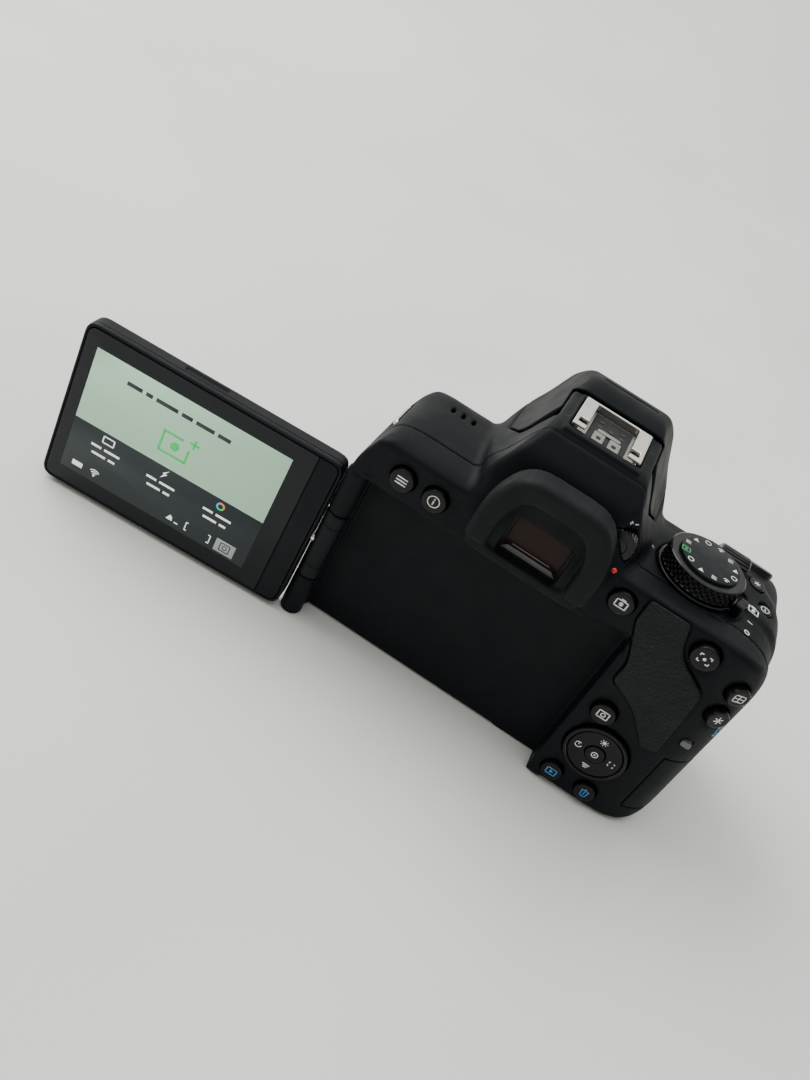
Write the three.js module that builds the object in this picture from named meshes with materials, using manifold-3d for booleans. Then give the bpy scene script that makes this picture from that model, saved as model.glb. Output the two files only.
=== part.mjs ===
// A digital single-lens reflex camera body with a side-hinged, tilting screen.
// Millimetres. +x is to the right seen from behind (the grip side), +y is forwards, +z is up.
// The origin is on the base plane, under the lens axis, at the sensor plane.
import * as THREE from 'three';
import { mergeVertices } from 'three/addons/utils/BufferGeometryUtils.js';
import Module from 'manifold-3d';

// ---------------------------------------------------------------- driving dimensions

const LEFT = -56.4;            // left side of the body
const RIGHT = 75;              // outermost point of the grip
const REAR = -20.5;            // rear plane
const FRONT = 25;              // front face beside the lens mount
const GRIP_FRONT = 44;         // foremost point of the grip
const SHOULDER = 77;           // top plate
const HEIGHT = 102.3;          // top of the flash head
const WALL = 3;                // wall of the casing
const GAP = 0.3;               // gap between two covers
const SKIN = 1;                // rubber skin over the grip
const REAR_SPLIT = -10;        // where the rear cover meets the front cover
const TOP_SPLIT = 61;          // where the top cover meets the front cover
const BASE = 3.2;              // thickness of the bottom cover's floor
const EYEPIECE_SIDE = 22.4;    // half width of the top cover where it comes down behind

const LENS = { z: 41, flange: 44, throat: 27, ring: 32.5, barrel: 36, barrelRear: 15, barrelFront: 42 };

const SCREEN = {
  hingeX: -52.9, hingeY: -17, z: 28.9,   // where the swing axis and the tilt axis cross
  open: 5, tilt: -3.6,                   // degrees: 5 short of half a turn, leaning back a little
  knuckle: 3.5,                          // radius of the hinge barrel
  reach: 3.8, length: 83.7, height: 55.5, thick: 7,
  displayLength: 64, displayHeight: 42.7, displayOffset: 4.6,
  blockLow: 16, blockHigh: 41.5, endRoom: 6.5, neck: 2.3,
};
const BAY = { left: -49.3, right: 35.2, top: 57.8, floor: -11.5, plate: 1.2 };
const FLASH = { y: 8.2, z: 87.5, arm: 5.5, sweep: 13.9, base: 80, tower: 15, towerFront: 16.3 };
const SHOE = { rear: -5.5, front: 12.7, half: 10.6, top: 100.1, floor: 97.4, seat: 96.6 };
const MODE = {
  x: 42.4, y: 1.8, radius: 12, low: 77.3, high: 82.3, disc: 9.4, discTop: 83.2,
  hub: 8.2, shaft: 3, shaftEnd: 70,
};
const PAD = {
  x: 48.1, z: 21, ring: 9.7, keys: 8.2, centre: 3,
  ringProud: 1.1, ringDeep: 2.4, keysProud: 0.8, centreProud: 1, deep: 4, flange: 9.1, flangeStart: 2.9,
};

// ---------------------------------------------------------------- shape helpers

const wasm = await Module();
wasm.setup();

function solid(geometry) {
  const bare = geometry.index ? geometry.toNonIndexed() : geometry.clone();
  bare.deleteAttribute('normal');
  bare.deleteAttribute('uv');
  const merged = mergeVertices(bare, 1e-4);
  const mesh = new wasm.Mesh({
    numProp: 3,
    vertProperties: new Float32Array(merged.attributes.position.array),
    triVerts: new Uint32Array(merged.index.array),
  });
  return new wasm.Manifold(mesh);
}

function surface(body) {
  const mesh = body.getMesh();
  const geometry = new THREE.BufferGeometry();
  geometry.setAttribute('position', new THREE.BufferAttribute(mesh.vertProperties, 3));
  geometry.setIndex(new THREE.BufferAttribute(mesh.triVerts, 1));
  return geometry;
}

const join = (...bodies) => bodies.reduce((whole, body) => whole.add(body));
const cut = (body, ...tools) => tools.reduce((rest, tool) => rest.subtract(tool), body);
const common = (...bodies) => bodies.reduce((rest, body) => rest.intersect(body));
// A cut can leave slivers beside the piece itself.
const largest = (body) => body.decompose().sort((a, b) => b.volume() - a.volume())[0];

function box([x0, x1], [y0, y1], [z0, z1]) {
  const geometry = new THREE.BoxGeometry(x1 - x0, y1 - y0, z1 - z0);
  geometry.translate((x0 + x1) / 2, (y0 + y1) / 2, (z0 + z1) / 2);
  return solid(geometry);
}

// A shape from [u, v, corner radius] points. A corner takes at most half of each side.
function outline(points) {
  const shape = new THREE.Shape();
  points.forEach(([u, v, radius = 0], i) => {
    const here = new THREE.Vector2(u, v);
    const sides = [points.length - 1, 1].map((step) => {
      const [nextU, nextV] = points[(i + step) % points.length];
      return new THREE.Vector2(nextU, nextV).sub(here);
    });
    const reach = Math.min(radius, ...sides.map((side) => 0.49 * side.length()));
    const [enter, leave] = sides.map((side) => side.setLength(reach).add(here));
    if (i === 0) shape.moveTo(enter.x, enter.y);
    else shape.lineTo(enter.x, enter.y);
    if (reach > 0) shape.quadraticCurveTo(here.x, here.y, leave.x, leave.y);
  });
  shape.closePath();
  return shape;
}

// Which way the outline's u and v and the extrusion run, for each extrusion axis.
const BASIS = {
  x: [[0, 1, 0], [0, 0, 1], [1, 0, 0]],
  y: [[1, 0, 0], [0, 0, 1], [0, -1, 0]],
  z: [[1, 0, 0], [0, 1, 0], [0, 0, 1]],
};

function prism(shape, axis, [low, high], curveSegments = 3) {
  const settings = { depth: high - low, bevelEnabled: false, curveSegments };
  const geometry = new THREE.ExtrudeGeometry(shape, settings);
  const basis = BASIS[axis].map((v) => new THREE.Vector3(...v));
  geometry.applyMatrix4(new THREE.Matrix4().makeBasis(...basis));
  const start = { x: [low, 0, 0], y: [0, high, 0], z: [0, 0, low] }[axis];
  geometry.translate(...start);
  return solid(geometry);
}

// A cylinder along an axis through [a, b], the two other coordinates in x, y, z order.
function rod(axis, [a, b], radius, [low, high], sides = 28) {
  const geometry = new THREE.CylinderGeometry(radius, radius, high - low, sides);
  const middle = (low + high) / 2;
  if (axis === 'x') geometry.rotateZ(-Math.PI / 2).translate(middle, a, b);
  if (axis === 'y') geometry.translate(a, middle, b);
  if (axis === 'z') geometry.rotateX(Math.PI / 2).translate(a, b, middle);
  return solid(geometry);
}

function ring(axis, centre, outer, inner, [low, high], sides = 40) {
  const hole = rod(axis, centre, inner, [low - 1, high + 1], sides);
  return cut(rod(axis, centre, outer, [low, high], sides), hole);
}

function roundRect([u0, u1], [v0, v1], radius) {
  return outline([[u0, v0, radius], [u1, v0, radius], [u1, v1, radius], [u0, v1, radius]]);
}

// The outline's points, drawn in by the same distance on each side of its box.
function inset(points, distance) {
  const ends = [0, 1].map((k) => points.map((p) => p[k]));
  const middle = ends.map((list) => (Math.min(...list) + Math.max(...list)) / 2);
  const half = ends.map((list) => (Math.max(...list) - Math.min(...list)) / 2);
  const place = (value, k) => middle[k] + (value - middle[k]) * (1 - distance / half[k]);
  return points.map(([u, v, r = 0]) => [place(u, 0), place(v, 1), Math.max(r - distance, 0.1)]);
}

const ALL = [-130, 130];       // past the camera on both sides, along any axis

// The common part of a plan, a front view and a side view.
function block({ plan, frontView, sideView }, distance) {
  const views = [plan, frontView, sideView].map((points) => outline(inset(points, distance)));
  return common(prism(views[0], 'z', ALL), prism(views[1], 'y', ALL), prism(views[2], 'x', ALL));
}

// ---------------------------------------------------------------- outer form

const LEFT_HALF = {
  plan: [[LEFT, REAR, 3.5], [40, REAR], [40, FRONT], [-42, FRONT, 10], [LEFT, 12, 14]],
  frontView: [[LEFT, 0, 4], [40, 0], [40, 76.5], [-44, 76, 3], [-51, 73, 6], [LEFT, 60, 10]],
  sideView: [[REAR, 0, 1.5], [REAR, 71.5, 1.5], [-17, 74, 3], [0, 76.5, 5], [17, 76, 8],
    [24, 68, 8], [FRONT, 0, 2]],
};
const RIGHT_HALF = {
  plan: [[20, REAR], [61, REAR, 8], [71, -16, 8], [RIGHT, -6, 8], [RIGHT, 12], [52, FRONT], [20, FRONT]],
  frontView: [[20, 0], [RIGHT, 0, 13], [RIGHT, 62, 10], [70, 73, 6], [58, SHOULDER, 6],
    [20, SHOULDER]],
  sideView: [[REAR, 0, 1.5], [REAR, SHOULDER, 4], [16, SHOULDER], [FRONT, 75], [FRONT, 0, 2]],
};
const GRIP = {
  plan: [[38, 0], [RIGHT, 0], [RIGHT, 22, 8], [70, 40, 10], [60, GRIP_FRONT, 6],
    [48, GRIP_FRONT, 10], [41, 34, 8]],
  frontView: [[38, 0, 2], [RIGHT, 0, 13], [RIGHT, 62, 10], [70, 73, 6], [58, SHOULDER, 6],
    [38, SHOULDER]],
  sideView: [[0, 0], [0, SHOULDER], [16, SHOULDER, 3], [34, 73, 6], [GRIP_FRONT, 62, 8],
    [GRIP_FRONT, 10, 6], [36, 0, 5]],
};
const HUMP = {
  plan: [[-22, REAR, 3], [21, REAR, 3], [30, 10, 8], [24, 36, 8], [12, 42, 6], [-12, 42, 6],
    [-24, 36, 8], [-30, 10, 8]],
  frontView: [[-30, 50], [30, 50], [28.5, 76, 4], [22, 83, 5], [17, 94, 5], [12, HEIGHT, 4],
    [-12, HEIGHT, 4], [-17, 94, 5], [-22, 83, 5], [-28.5, 76, 4]],
  sideView: [[REAR, 50], [REAR, 70, 2], [-16.5, 90, 3], [-9, 98.3, 3], [15, 98.6, 2],
    [22, HEIGHT, 4], [34, 99.5, 6], [40, 92, 4], [42, 80, 3], [38, 62, 4], [30, 50]],
};

function form(distance) {
  const barrel = rod('y', [0, LENS.z], LENS.barrel - distance,
    [LENS.barrelRear, LENS.barrelFront - distance], 48);
  return join(block(LEFT_HALF, distance), block(RIGHT_HALF, distance), block(GRIP, distance),
    block(HUMP, distance), barrel);
}

const outer = form(0);
const cavity = form(WALL);
const casing = cut(outer, cavity);

// ---------------------------------------------------------------- regions of the covers

const FAR = ALL[1];
const ahead = [REAR_SPLIT + GAP, FAR];
const above = [TOP_SPLIT + GAP, FAR];
const rearRegion = cut(box(ALL, [-FAR, REAR_SPLIT], ALL),
  box([-EYEPIECE_SIDE, EYEPIECE_SIDE], ALL, [TOP_SPLIT, FAR]));
const topRegion = join(box(ALL, ahead, above),
  box([-EYEPIECE_SIDE + GAP, EYEPIECE_SIDE - GAP], ALL, above));
const bottomRegion = box(ALL, ahead, [-1, BASE]);
const frontRegion = box(ALL, ahead, [BASE + GAP, TOP_SPLIT]);

// ---------------------------------------------------------------- scene graph

const camera = new THREE.Group();
const COLOURS = {
  plastic: [0x1b1f21, 0.55, 0],
  rubber: [0x141617, 0.85, 0],
  button: [0x101214, 0.4, 0],
  metal: [0xb9b7b2, 0.3, 1],
  darkMetal: [0x3a3c3f, 0.45, 0.8],
  glass: [0x20262a, 0.05, 0],
  display: [0x9aa79c, 0.2, 0],
  board: [0x1d4a33, 0.6, 0],
  mirror: [0xd8dcde, 0.05, 1],
  lamp: [0xd9dcd4, 0.15, 0],
};

function add(name, body, look, parent = camera) {
  const [color, roughness, metalness] = COLOURS[look];
  const material = new THREE.MeshStandardMaterial({ color, roughness, metalness });
  const mesh = new THREE.Mesh(surface(body), material);
  mesh.name = name;
  parent.add(mesh);
  return mesh;
}

// ---------------------------------------------------------------- buttons

// Round buttons on the rear plane: centre x, z and radius.
const REAR_BUTTONS = {
  menu_button: [-40.8, 64.8, 3.6],
  info_button: [-30.3, 64.8, 3.6],
  live_view_button: [26.8, 69.8, 3.6],
  af_start_button: [53.1, 69.4, 3.9],
  quick_button: [42.4, 35.1, 3.6],
  playback_button: [41.6, 6.2, 3.3],
  erase_button: [53.3, 6.2, 3.3],
};
// Buttons on the slanted corner: centre x, y, z and radius; the corner's face is turned 24 degrees.
const CORNER_TURN = 24;
const CORNER_BUTTONS = {
  focus_point_button: [67.2, -17.8, 63.3, 3.2],
  exposure_lock_button: [67.2, -17.8, 53.6, 3.2],
};
const BUTTON = { proud: 0.9, cornerProud: 1.5, deep: 3.6, holeOut: 6, holeIn: 8 };

const rearHoles = [];
for (const [name, [x, z, radius]] of Object.entries(REAR_BUTTONS)) {
  add(name, rod('y', [x, z], radius, [REAR - BUTTON.proud, REAR + BUTTON.deep]), 'button');
  rearHoles.push(rod('y', [x, z], radius + GAP, [REAR - BUTTON.holeOut, REAR + BUTTON.holeIn]));
}

function cornerRod([x, y, z], radius, [low, high]) {
  const geometry = new THREE.CylinderGeometry(radius, radius, high - low, 28);
  geometry.translate(0, (low + high) / 2, 0);
  geometry.rotateZ(THREE.MathUtils.degToRad(CORNER_TURN));
  geometry.translate(x, y, z);
  return solid(geometry);
}
for (const [name, [x, y, z, radius]] of Object.entries(CORNER_BUTTONS)) {
  add(name, cornerRod([x, y, z], radius, [-BUTTON.cornerProud, BUTTON.deep]), 'button');
  rearHoles.push(cornerRod([x, y, z], radius + GAP, [-BUTTON.holeOut, BUTTON.holeIn]));
}

// The four-way pad: a free dial ring round a key pad with a centre button.
const padCentre = [PAD.x, PAD.z];
const padBottom = REAR + PAD.deep;
const padTravel = 1.4;
add('control_dial_ring', ring('y', padCentre, PAD.ring, PAD.keys + GAP,
  [REAR - PAD.ringProud, REAR + PAD.ringDeep]), 'button');
add('four_way_pad', join(
  ring('y', padCentre, PAD.keys, PAD.centre + GAP, [REAR - PAD.keysProud, padBottom]),
  ring('y', padCentre, PAD.flange, PAD.keys - 1, [REAR + PAD.flangeStart, padBottom]),
), 'button');
add('set_button', rod('y', padCentre, PAD.centre, [REAR - PAD.centreProud, padBottom]), 'button');
rearHoles.push(rod('y', padCentre, PAD.ring + GAP, [REAR - BUTTON.holeOut, padBottom + padTravel]));

// ---------------------------------------------------------------- rear cover

// A rounded rectangle from its centre and its half sizes.
const around = ({ x, z, halfWidth, halfHeight, radius }, grow) => roundRect(
  [x - halfWidth - grow, x + halfWidth + grow], [z - halfHeight - grow, z + halfHeight + grow], radius);

const LAMP = { x: 66, z: 40.5, halfWidth: 1.5, halfHeight: 1, radius: 0.8, rear: -19.2, front: -16.4 };
add('access_lamp', prism(around(LAMP, 0), 'y', [LAMP.rear, LAMP.front]), 'lamp');

const THUMB_PAD = [[32.6, 67.9, 1.5], [32.6, 75.5, 1.5], [45, 75.5, 1.5], [47.6, 66, 5], [59.6, 58.5, 2],
  [61, 33.6, 1.5], [56.4, 32.3, 1.5], [47.5, 42.4, 4], [38.1, 46.9, 1.5], [38.6, 54, 3]];
const THUMB = { x: 47, z: 56, recess: 1, proud: 0.5, grow: 0.6 };
add('thumb_rubber', prism(outline(THUMB_PAD), 'y', [REAR - THUMB.proud, REAR + THUMB.recess - GAP]),
  'rubber');
const padRecess = prism(outline(THUMB_PAD.map(([x, z, r]) => {
  const away = new THREE.Vector2(x - THUMB.x, z - THUMB.z).setLength(THUMB.grow);
  return [x + away.x, z + away.y, r];
})), 'y', [REAR - 5, REAR + THUMB.recess]);

// The bay that the closed screen lies in is open at the base and on the hinge side.
const BAY_SCALLOP = [[18, BAY.top - 2], [24, 61.5, 3], [BAY.right, 62.5, 2], [BAY.right, BAY.top - 2]];
const bay = join(
  prism(roundRect([BAY.left, BAY.right], [-10, BAY.top], 1.5), 'y', [-40, BAY.floor]),
  prism(outline(BAY_SCALLOP), 'y', [-40, REAR + 5]),
);
const bayWalls = common(outer, box([BAY.left - 1, BAY.right + 1.5], [BAY.floor - 7, BAY.floor + BAY.plate],
  [0, BAY.top + 1.5]));
const hingeAxis = [SCREEN.hingeX, SCREEN.hingeY];
const hingeNotch = box([-70, BAY.left + 1], [-40, SCREEN.hingeY + 4],
  [SCREEN.blockLow - GAP, SCREEN.blockHigh + GAP]);
// The screen's end passes round the two fixed knuckles, which stand on necks in front of them.
const neckSides = [SCREEN.hingeX - SCREEN.neck, SCREEN.hingeX + SCREEN.neck];
const knuckleRoom = cut(
  common(ring('z', hingeAxis, SCREEN.endRoom, SCREEN.knuckle + 0.05, [-1, BAY.top]),
    box([-60, -40], [-40, -13], [-2, BAY.top])),
  box(neckSides, [SCREEN.hingeY + 2, REAR_SPLIT], [-3, 80]),
);
const knuckle = (span) => join(rod('z', hingeAxis, SCREEN.knuckle, span),
  box(neckSides, [SCREEN.hingeY + 2, REAR_SPLIT], span));
const knuckles = common(outer, join(knuckle([0, SCREEN.blockLow - GAP]),
  knuckle([SCREEN.blockHigh + GAP, BAY.top])));
const PIN = { radius: 1.2, length: 4 };
const pinRange = [SCREEN.blockLow - PIN.length, SCREEN.blockHigh + PIN.length];
const pinBore = rod('z', hingeAxis, PIN.radius + GAP, [pinRange[0] - GAP, pinRange[1] + GAP], 20);

// The card door wraps the lower part of the rear right corner.
const CARD = { low: 8, high: 32, rear: 64.5, front: 12 };
const cardRegion = (grow) => join(
  box([CARD.rear - grow, 90], [-40, -6], [CARD.low - grow, CARD.high + grow]),
  box([60, 90], [-15, CARD.front + grow], [CARD.low - grow, CARD.high + grow]),
);
const doorSkin = cut(outer, form(1.6));
const cardSweep = rod('z', [RIGHT - 1.4, CARD.front], 2.2, [CARD.low - GAP, CARD.high + GAP], 20);
add('card_door', cut(common(doorSkin, cardRegion(0)), box([60, 72], [-6, 20], [0, 50])), 'plastic');

// The power lever turns in a round pocket that both covers share.
const LEVER = {
  radius: 12.8, bore: 9, low: SHOULDER - 1.1, high: MODE.low - GAP, turn: -20, room: 0.4,
  tip: 80, tipEnd: 15.4, tipLength: 2.8, tipWidth: 5.2, tipRoom: 0.9,
};
const modeCentre = [MODE.x, MODE.y];
const leverRange = [LEVER.low - GAP, FAR];
const leverRoom = join(rod('z', modeCentre, LEVER.radius + LEVER.room, leverRange, 48),
  common(rod('z', modeCentre, LEVER.tipEnd + LEVER.tipRoom, leverRange, 48),
    box([MODE.x + 6, FAR], [MODE.y - 14.5, MODE.y + 6], ALL)));

const rearCover = join(common(casing, rearRegion), common(bayWalls, rearRegion), knuckles);
add('rear_cover', cut(rearCover, leverRoom, bay, hingeNotch, knuckleRoom, pinBore, padRecess,
  cardRegion(GAP), prism(around(LAMP, GAP), 'y', [-40, REAR_SPLIT]), ...rearHoles), 'plastic');

// ---------------------------------------------------------------- screen

const swing = new THREE.Group();
swing.position.set(SCREEN.hingeX, SCREEN.hingeY, SCREEN.z);
swing.rotation.z = THREE.MathUtils.degToRad(SCREEN.open);
camera.add(swing);
const tilting = new THREE.Group();
tilting.rotation.x = THREE.MathUtils.degToRad(SCREEN.tilt);
swing.add(tilting);

// Inside these groups the origin is where the two axes cross, and the screen lies along -x.
const SHAFT = { radius: 1.6, end: -13 };
const blockSpan = [SCREEN.blockLow - SCREEN.z, SCREEN.blockHigh - SCREEN.z];
const pinSpan = pinRange.map((z) => z - SCREEN.z);
add('screen_hinge_block', cut(join(
  rod('z', [0, 0], SCREEN.knuckle, blockSpan),
  rod('z', [0, 0], PIN.radius, pinSpan, 20),
), rod('x', [0, 0], SHAFT.radius + GAP, [-8, 1], 20)), 'plastic', swing);
add('screen_tilt_shaft', rod('x', [0, 0], SHAFT.radius, [SHAFT.end, 0.6], 20), 'metal', swing);

const caseEnd = -SCREEN.reach - SCREEN.length;
const half = { thick: SCREEN.thick / 2, height: SCREEN.height / 2 };
const displayMiddle = -SCREEN.reach - SCREEN.length / 2 - SCREEN.displayOffset;
const displaySpan = (grow) => [
  [displayMiddle - SCREEN.displayLength / 2 - grow, displayMiddle + SCREEN.displayLength / 2 + grow],
  [-SCREEN.displayHeight / 2 - grow, SCREEN.displayHeight / 2 + grow],
];
const TRAY = { margin: 1.3, depth: 1.3 };
const trayShape = (grow) => roundRect([caseEnd + TRAY.margin - grow, -SCREEN.reach - TRAY.margin + grow],
  [-half.height + TRAY.margin - grow, half.height - TRAY.margin + grow], 2);
const caseShape = roundRect([caseEnd, -SCREEN.reach], [-half.height, half.height], 3);
add('screen_case', cut(
  prism(caseShape, 'y', [-half.thick, half.thick]),
  prism(trayShape(GAP), 'y', [-half.thick - 1, -half.thick + TRAY.depth]),
  rod('x', [0, 0], SHAFT.radius + GAP, [SHAFT.end - 1, 0], 20),
), 'plastic', tilting);
const plateRange = [-half.thick + 0.1, -half.thick + TRAY.depth - GAP];
add('screen_bezel', cut(
  prism(trayShape(0), 'y', plateRange),
  prism(roundRect(...displaySpan(GAP), 0.2), 'y', [-10, 10]),
), 'glass', tilting);
add('screen_display', prism(roundRect(...displaySpan(0), 0.2), 'y',
  [plateRange[0] + 0.1, plateRange[1]]), 'display', tilting);

// ---------------------------------------------------------------- strap lugs

// Each lug stands across the shoulder's slope, in a pocket cut into a solid part of the top cover.
const LUG = {
  loop: [[-7, -3], [7, -3], [6, 3.4, 1.5], [-6, 3.4, 1.5]],
  slot: [[-4.8, -1.2, 0.4], [4.8, -1.2, 0.4], [4.4, 1.6, 0.6], [-4.4, 1.6, 0.6]],
  pocket: [[-8, -3.4], [8, -3.4], [8, 14], [-8, 14]],
  thick: 1.6, pocketThick: 3.6,
};
const LUGS = {
  strap_lug_left: { place: [-50.3, 2, 67.5], lean: -60, boss: [[-58, -44], [-9, 13]] },
  strap_lug_right: { place: [70.5, 11, 65], lean: 70, boss: [[63, 78], [0, 22]] },
};

function acrossSlope(shape, thick, { place, lean }) {
  const settings = { depth: thick, bevelEnabled: false, curveSegments: 3 };
  const geometry = new THREE.ExtrudeGeometry(shape, settings);
  geometry.translate(0, 0, -thick / 2);
  geometry.applyMatrix4(new THREE.Matrix4().makeBasis(...BASIS.x.map((v) => new THREE.Vector3(...v))));
  geometry.rotateY(THREE.MathUtils.degToRad(lean)).translate(...place);
  return solid(geometry);
}
const lugLoop = outline(LUG.loop);
lugLoop.holes.push(outline(LUG.slot));
for (const [name, lug] of Object.entries(LUGS)) add(name, acrossSlope(lugLoop, LUG.thick, lug), 'metal');
const lugPockets = Object.values(LUGS).map((lug) => acrossSlope(outline(LUG.pocket), LUG.pocketThick, lug));
const lugBosses = Object.values(LUGS)
  .map(({ boss }) => common(outer, box(boss[0], boss[1], [TOP_SPLIT + GAP, 72])));

// ---------------------------------------------------------------- top cover, flash head and shoe

const flashAxis = [FLASH.y, FLASH.z];
const tower = box([-FLASH.tower + GAP, FLASH.tower - GAP], [-30, FLASH.towerFront], [60, 98.3]);
const headOutline = [[9.7, FLASH.base], [90, FLASH.base], [90, 130], [13.3, 130], [13.3, 100], [5.4, 96.5],
  [2.9, 89], [4, 84]];
const headSide = join(rod('x', flashAxis, FLASH.arm, ALL, 40), prism(outline(headOutline), 'x', ALL));
const headRegion = cut(headSide,
  box([-FLASH.tower, FLASH.tower], [-30, FLASH.towerFront + GAP], ALL),
  rod('x', flashAxis, FLASH.sweep, [-FLASH.tower, FLASH.tower], 48));
// The head's top edge swings back past the tower's sides, so its room reaches back there.
const roomOutline = [[9.6, FLASH.base - GAP], [90, FLASH.base - GAP], [90, 130], [-1.4, 130], [-1.4, 89],
  [0.4, 85.3], [3.3, 83.6]];
const headRoom = cut(join(rod('x', flashAxis, FLASH.arm + GAP, ALL, 40),
  prism(outline(roomOutline), 'x', ALL)), tower);

const WINDOW = { half: 15, low: 83.5, high: 92.5, front: 40.4 };
const windowShape = (grow) => roundRect([-WINDOW.half - grow, WINDOW.half + grow],
  [WINDOW.low - grow, WINDOW.high + grow], 1.5);
const flashBody = common(outer, headRegion);
add('flash_head', cut(flashBody, prism(windowShape(GAP), 'y', [WINDOW.front - 5.6 - GAP, 60]),
  box([-11, 11], [20, 31], [FLASH.base - 1, 97])), 'plastic');
add('flash_window', common(form(0.6), prism(windowShape(0), 'y', [WINDOW.front - 5.6, 60])), 'lamp');

const EYEPIECE = { half: 10.6, low: 62.8, high: 77.6, rear: -20.2, step: -14, front: -3 };
const eyepieceShape = (grow) => roundRect([-EYEPIECE.half - grow, EYEPIECE.half + grow],
  [EYEPIECE.low - grow, EYEPIECE.high + grow], 1.5);
const DIOPTER = { x: 16.8, z: 81.5, radius: 5.2, rear: -17, front: -13, pivot: 2, pivotEnd: -11.9 };
const shoePocket = prism(roundRect([-SHOE.half - 0.5, SHOE.half + 0.5],
  [SHOE.rear - 0.5, SHOE.front + 0.5], 1), 'z', [SHOE.seat, 120]);

const SHUTTER = { x: 61, y: 34, z: 70.9, radius: 5.8, lean: 25, deep: 5, proud: 2.2 };
function shutterRod(radius, [low, high], sides = 32) {
  const geometry = new THREE.CylinderGeometry(radius, radius, high - low, sides);
  geometry.translate(0, (low + high) / 2, 0);
  geometry.rotateX(THREE.MathUtils.degToRad(90 - SHUTTER.lean));
  geometry.translate(SHUTTER.x, SHUTTER.y, SHUTTER.z);
  return solid(geometry);
}
const TOP_BUTTONS = {
  iso_button: [60.3, 17, 2.6],
  display_button: [64.6, 8.6, 2.2],
};
const FRONT_DIAL = { y: 21.5, z: 72.4, radius: 6.8, low: 46.4, high: 56.4, room: 7.4 };
const topHoles = Object.values(TOP_BUTTONS)
  .map(([x, y, radius]) => rod('z', [x, y], radius + GAP, [68, 90], 24));
const MICROPHONE = { x: [-41, -37.5, -34], y: 9, radius: 0.5 };
const microphoneHoles = MICROPHONE.x.map((x) => rod('z', [x, MICROPHONE.y], MICROPHONE.radius, [70, 80], 8));

const mountSeat = join(rod('y', [0, LENS.z], LENS.throat + 2.2, [10, 60], 48),
  rod('y', [0, LENS.z], LENS.ring + GAP, [LENS.flange - 2.6 - GAP, 60], 48));
const topCover = join(common(casing, topRegion), common(outer, tower, box(ALL, [-16, 20], [80, 98.3])),
  common(outer, box([-26, 26], [2, 42], [FLASH.base - 3.5, FLASH.base - GAP])), ...lugBosses);
add('top_cover', cut(topCover, headRoom, shoePocket, mountSeat,
  prism(eyepieceShape(GAP), 'y', [-40, 0]),
  rod('y', [DIOPTER.x, DIOPTER.z], DIOPTER.radius + GAP, [DIOPTER.rear - GAP, DIOPTER.front + GAP]),
  shutterRod(SHUTTER.radius + GAP, [-SHUTTER.deep - 3, 20]),
  box([FRONT_DIAL.low - GAP, FRONT_DIAL.high + GAP],
    [FRONT_DIAL.y - FRONT_DIAL.room, FRONT_DIAL.y + FRONT_DIAL.room], [60, 90]),
  rod('z', modeCentre, MODE.shaft + GAP, [TOP_SPLIT, FAR], 20),
  leverRoom, ...topHoles, ...microphoneHoles, ...lugPockets), 'plastic');

add('shoe_rails', cut(
  box([-SHOE.half, SHOE.half], [SHOE.rear, SHOE.front], [SHOE.seat + GAP, SHOE.top]),
  box([-9.4, 9.4], [SHOE.rear - 1, SHOE.front + 1], [SHOE.floor, 99.3]),
  box([-6.6, 6.6], [SHOE.rear - 1, SHOE.front + 1], [SHOE.floor, 110]),
), 'metal');
const shoeContacts = [[0, 3.4], [-3.4, 6.6], [3.4, 6.6], [-3.4, 0.4], [3.4, 0.4]];
add('shoe_insert', join(
  box([-6, 6], [SHOE.rear + 1, SHOE.front - 0.6], [SHOE.floor + 0.05, SHOE.floor + 0.55]),
  ...shoeContacts.map(([x, y]) => rod('z', [x, y], 0.9, [SHOE.floor + 0.2, SHOE.floor + 0.8], 12)),
), 'plastic');

// ---------------------------------------------------------------- eyepiece

const EYECUP = { rear: -31.5, front: REAR - GAP, low: 60.6, high: 93 };
const eyecupOutline = outline([[-18.6, EYECUP.low, 4], [18, EYECUP.low, 4], [18.4, 80, 6],
  [13, EYECUP.high, 7], [-13.6, EYECUP.high, 7], [-19, 80, 6]]);
const eyecupOpening = outline([[-12.4, 64.2, 2], [12, 64.2, 2], [12, 79, 4], [8.5, 86.5, 5], [-9, 86.5, 5],
  [-12.4, 79, 4]]);
const hoodLine = outline([[EYECUP.rear - 1, 50], [-24.5, 50], [-24.5, 66.2, 1], [EYECUP.rear - 1, 68]]);
add('eyecup', cut(
  prism(eyecupOutline, 'y', [EYECUP.rear, EYECUP.front]),
  prism(eyecupOpening, 'y', [EYECUP.rear - 1, -23.5]),
  prism(roundRect([-9.6, 9.2], [EYEPIECE.low + 1, EYEPIECE.high - 0.6], 1.5), 'y', [-40, 0]),
  prism(hoodLine, 'x', ALL),
  box([-30, 30], [-22.4, -10], [83, 100]),
), 'rubber');
add('eyepiece_lens', join(
  prism(eyepieceShape(0), 'y', [EYEPIECE.rear, EYEPIECE.step]),
  prism(eyepieceShape(-1.6), 'y', [EYEPIECE.step, EYEPIECE.front]),
), 'glass');
add('diopter_wheel', join(
  rod('y', [DIOPTER.x, DIOPTER.z], DIOPTER.radius, [DIOPTER.rear, DIOPTER.front], 24),
  rod('y', [DIOPTER.x, DIOPTER.z], DIOPTER.pivot, [DIOPTER.rear, DIOPTER.pivotEnd], 16),
), 'plastic');

// ---------------------------------------------------------------- top controls

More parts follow.
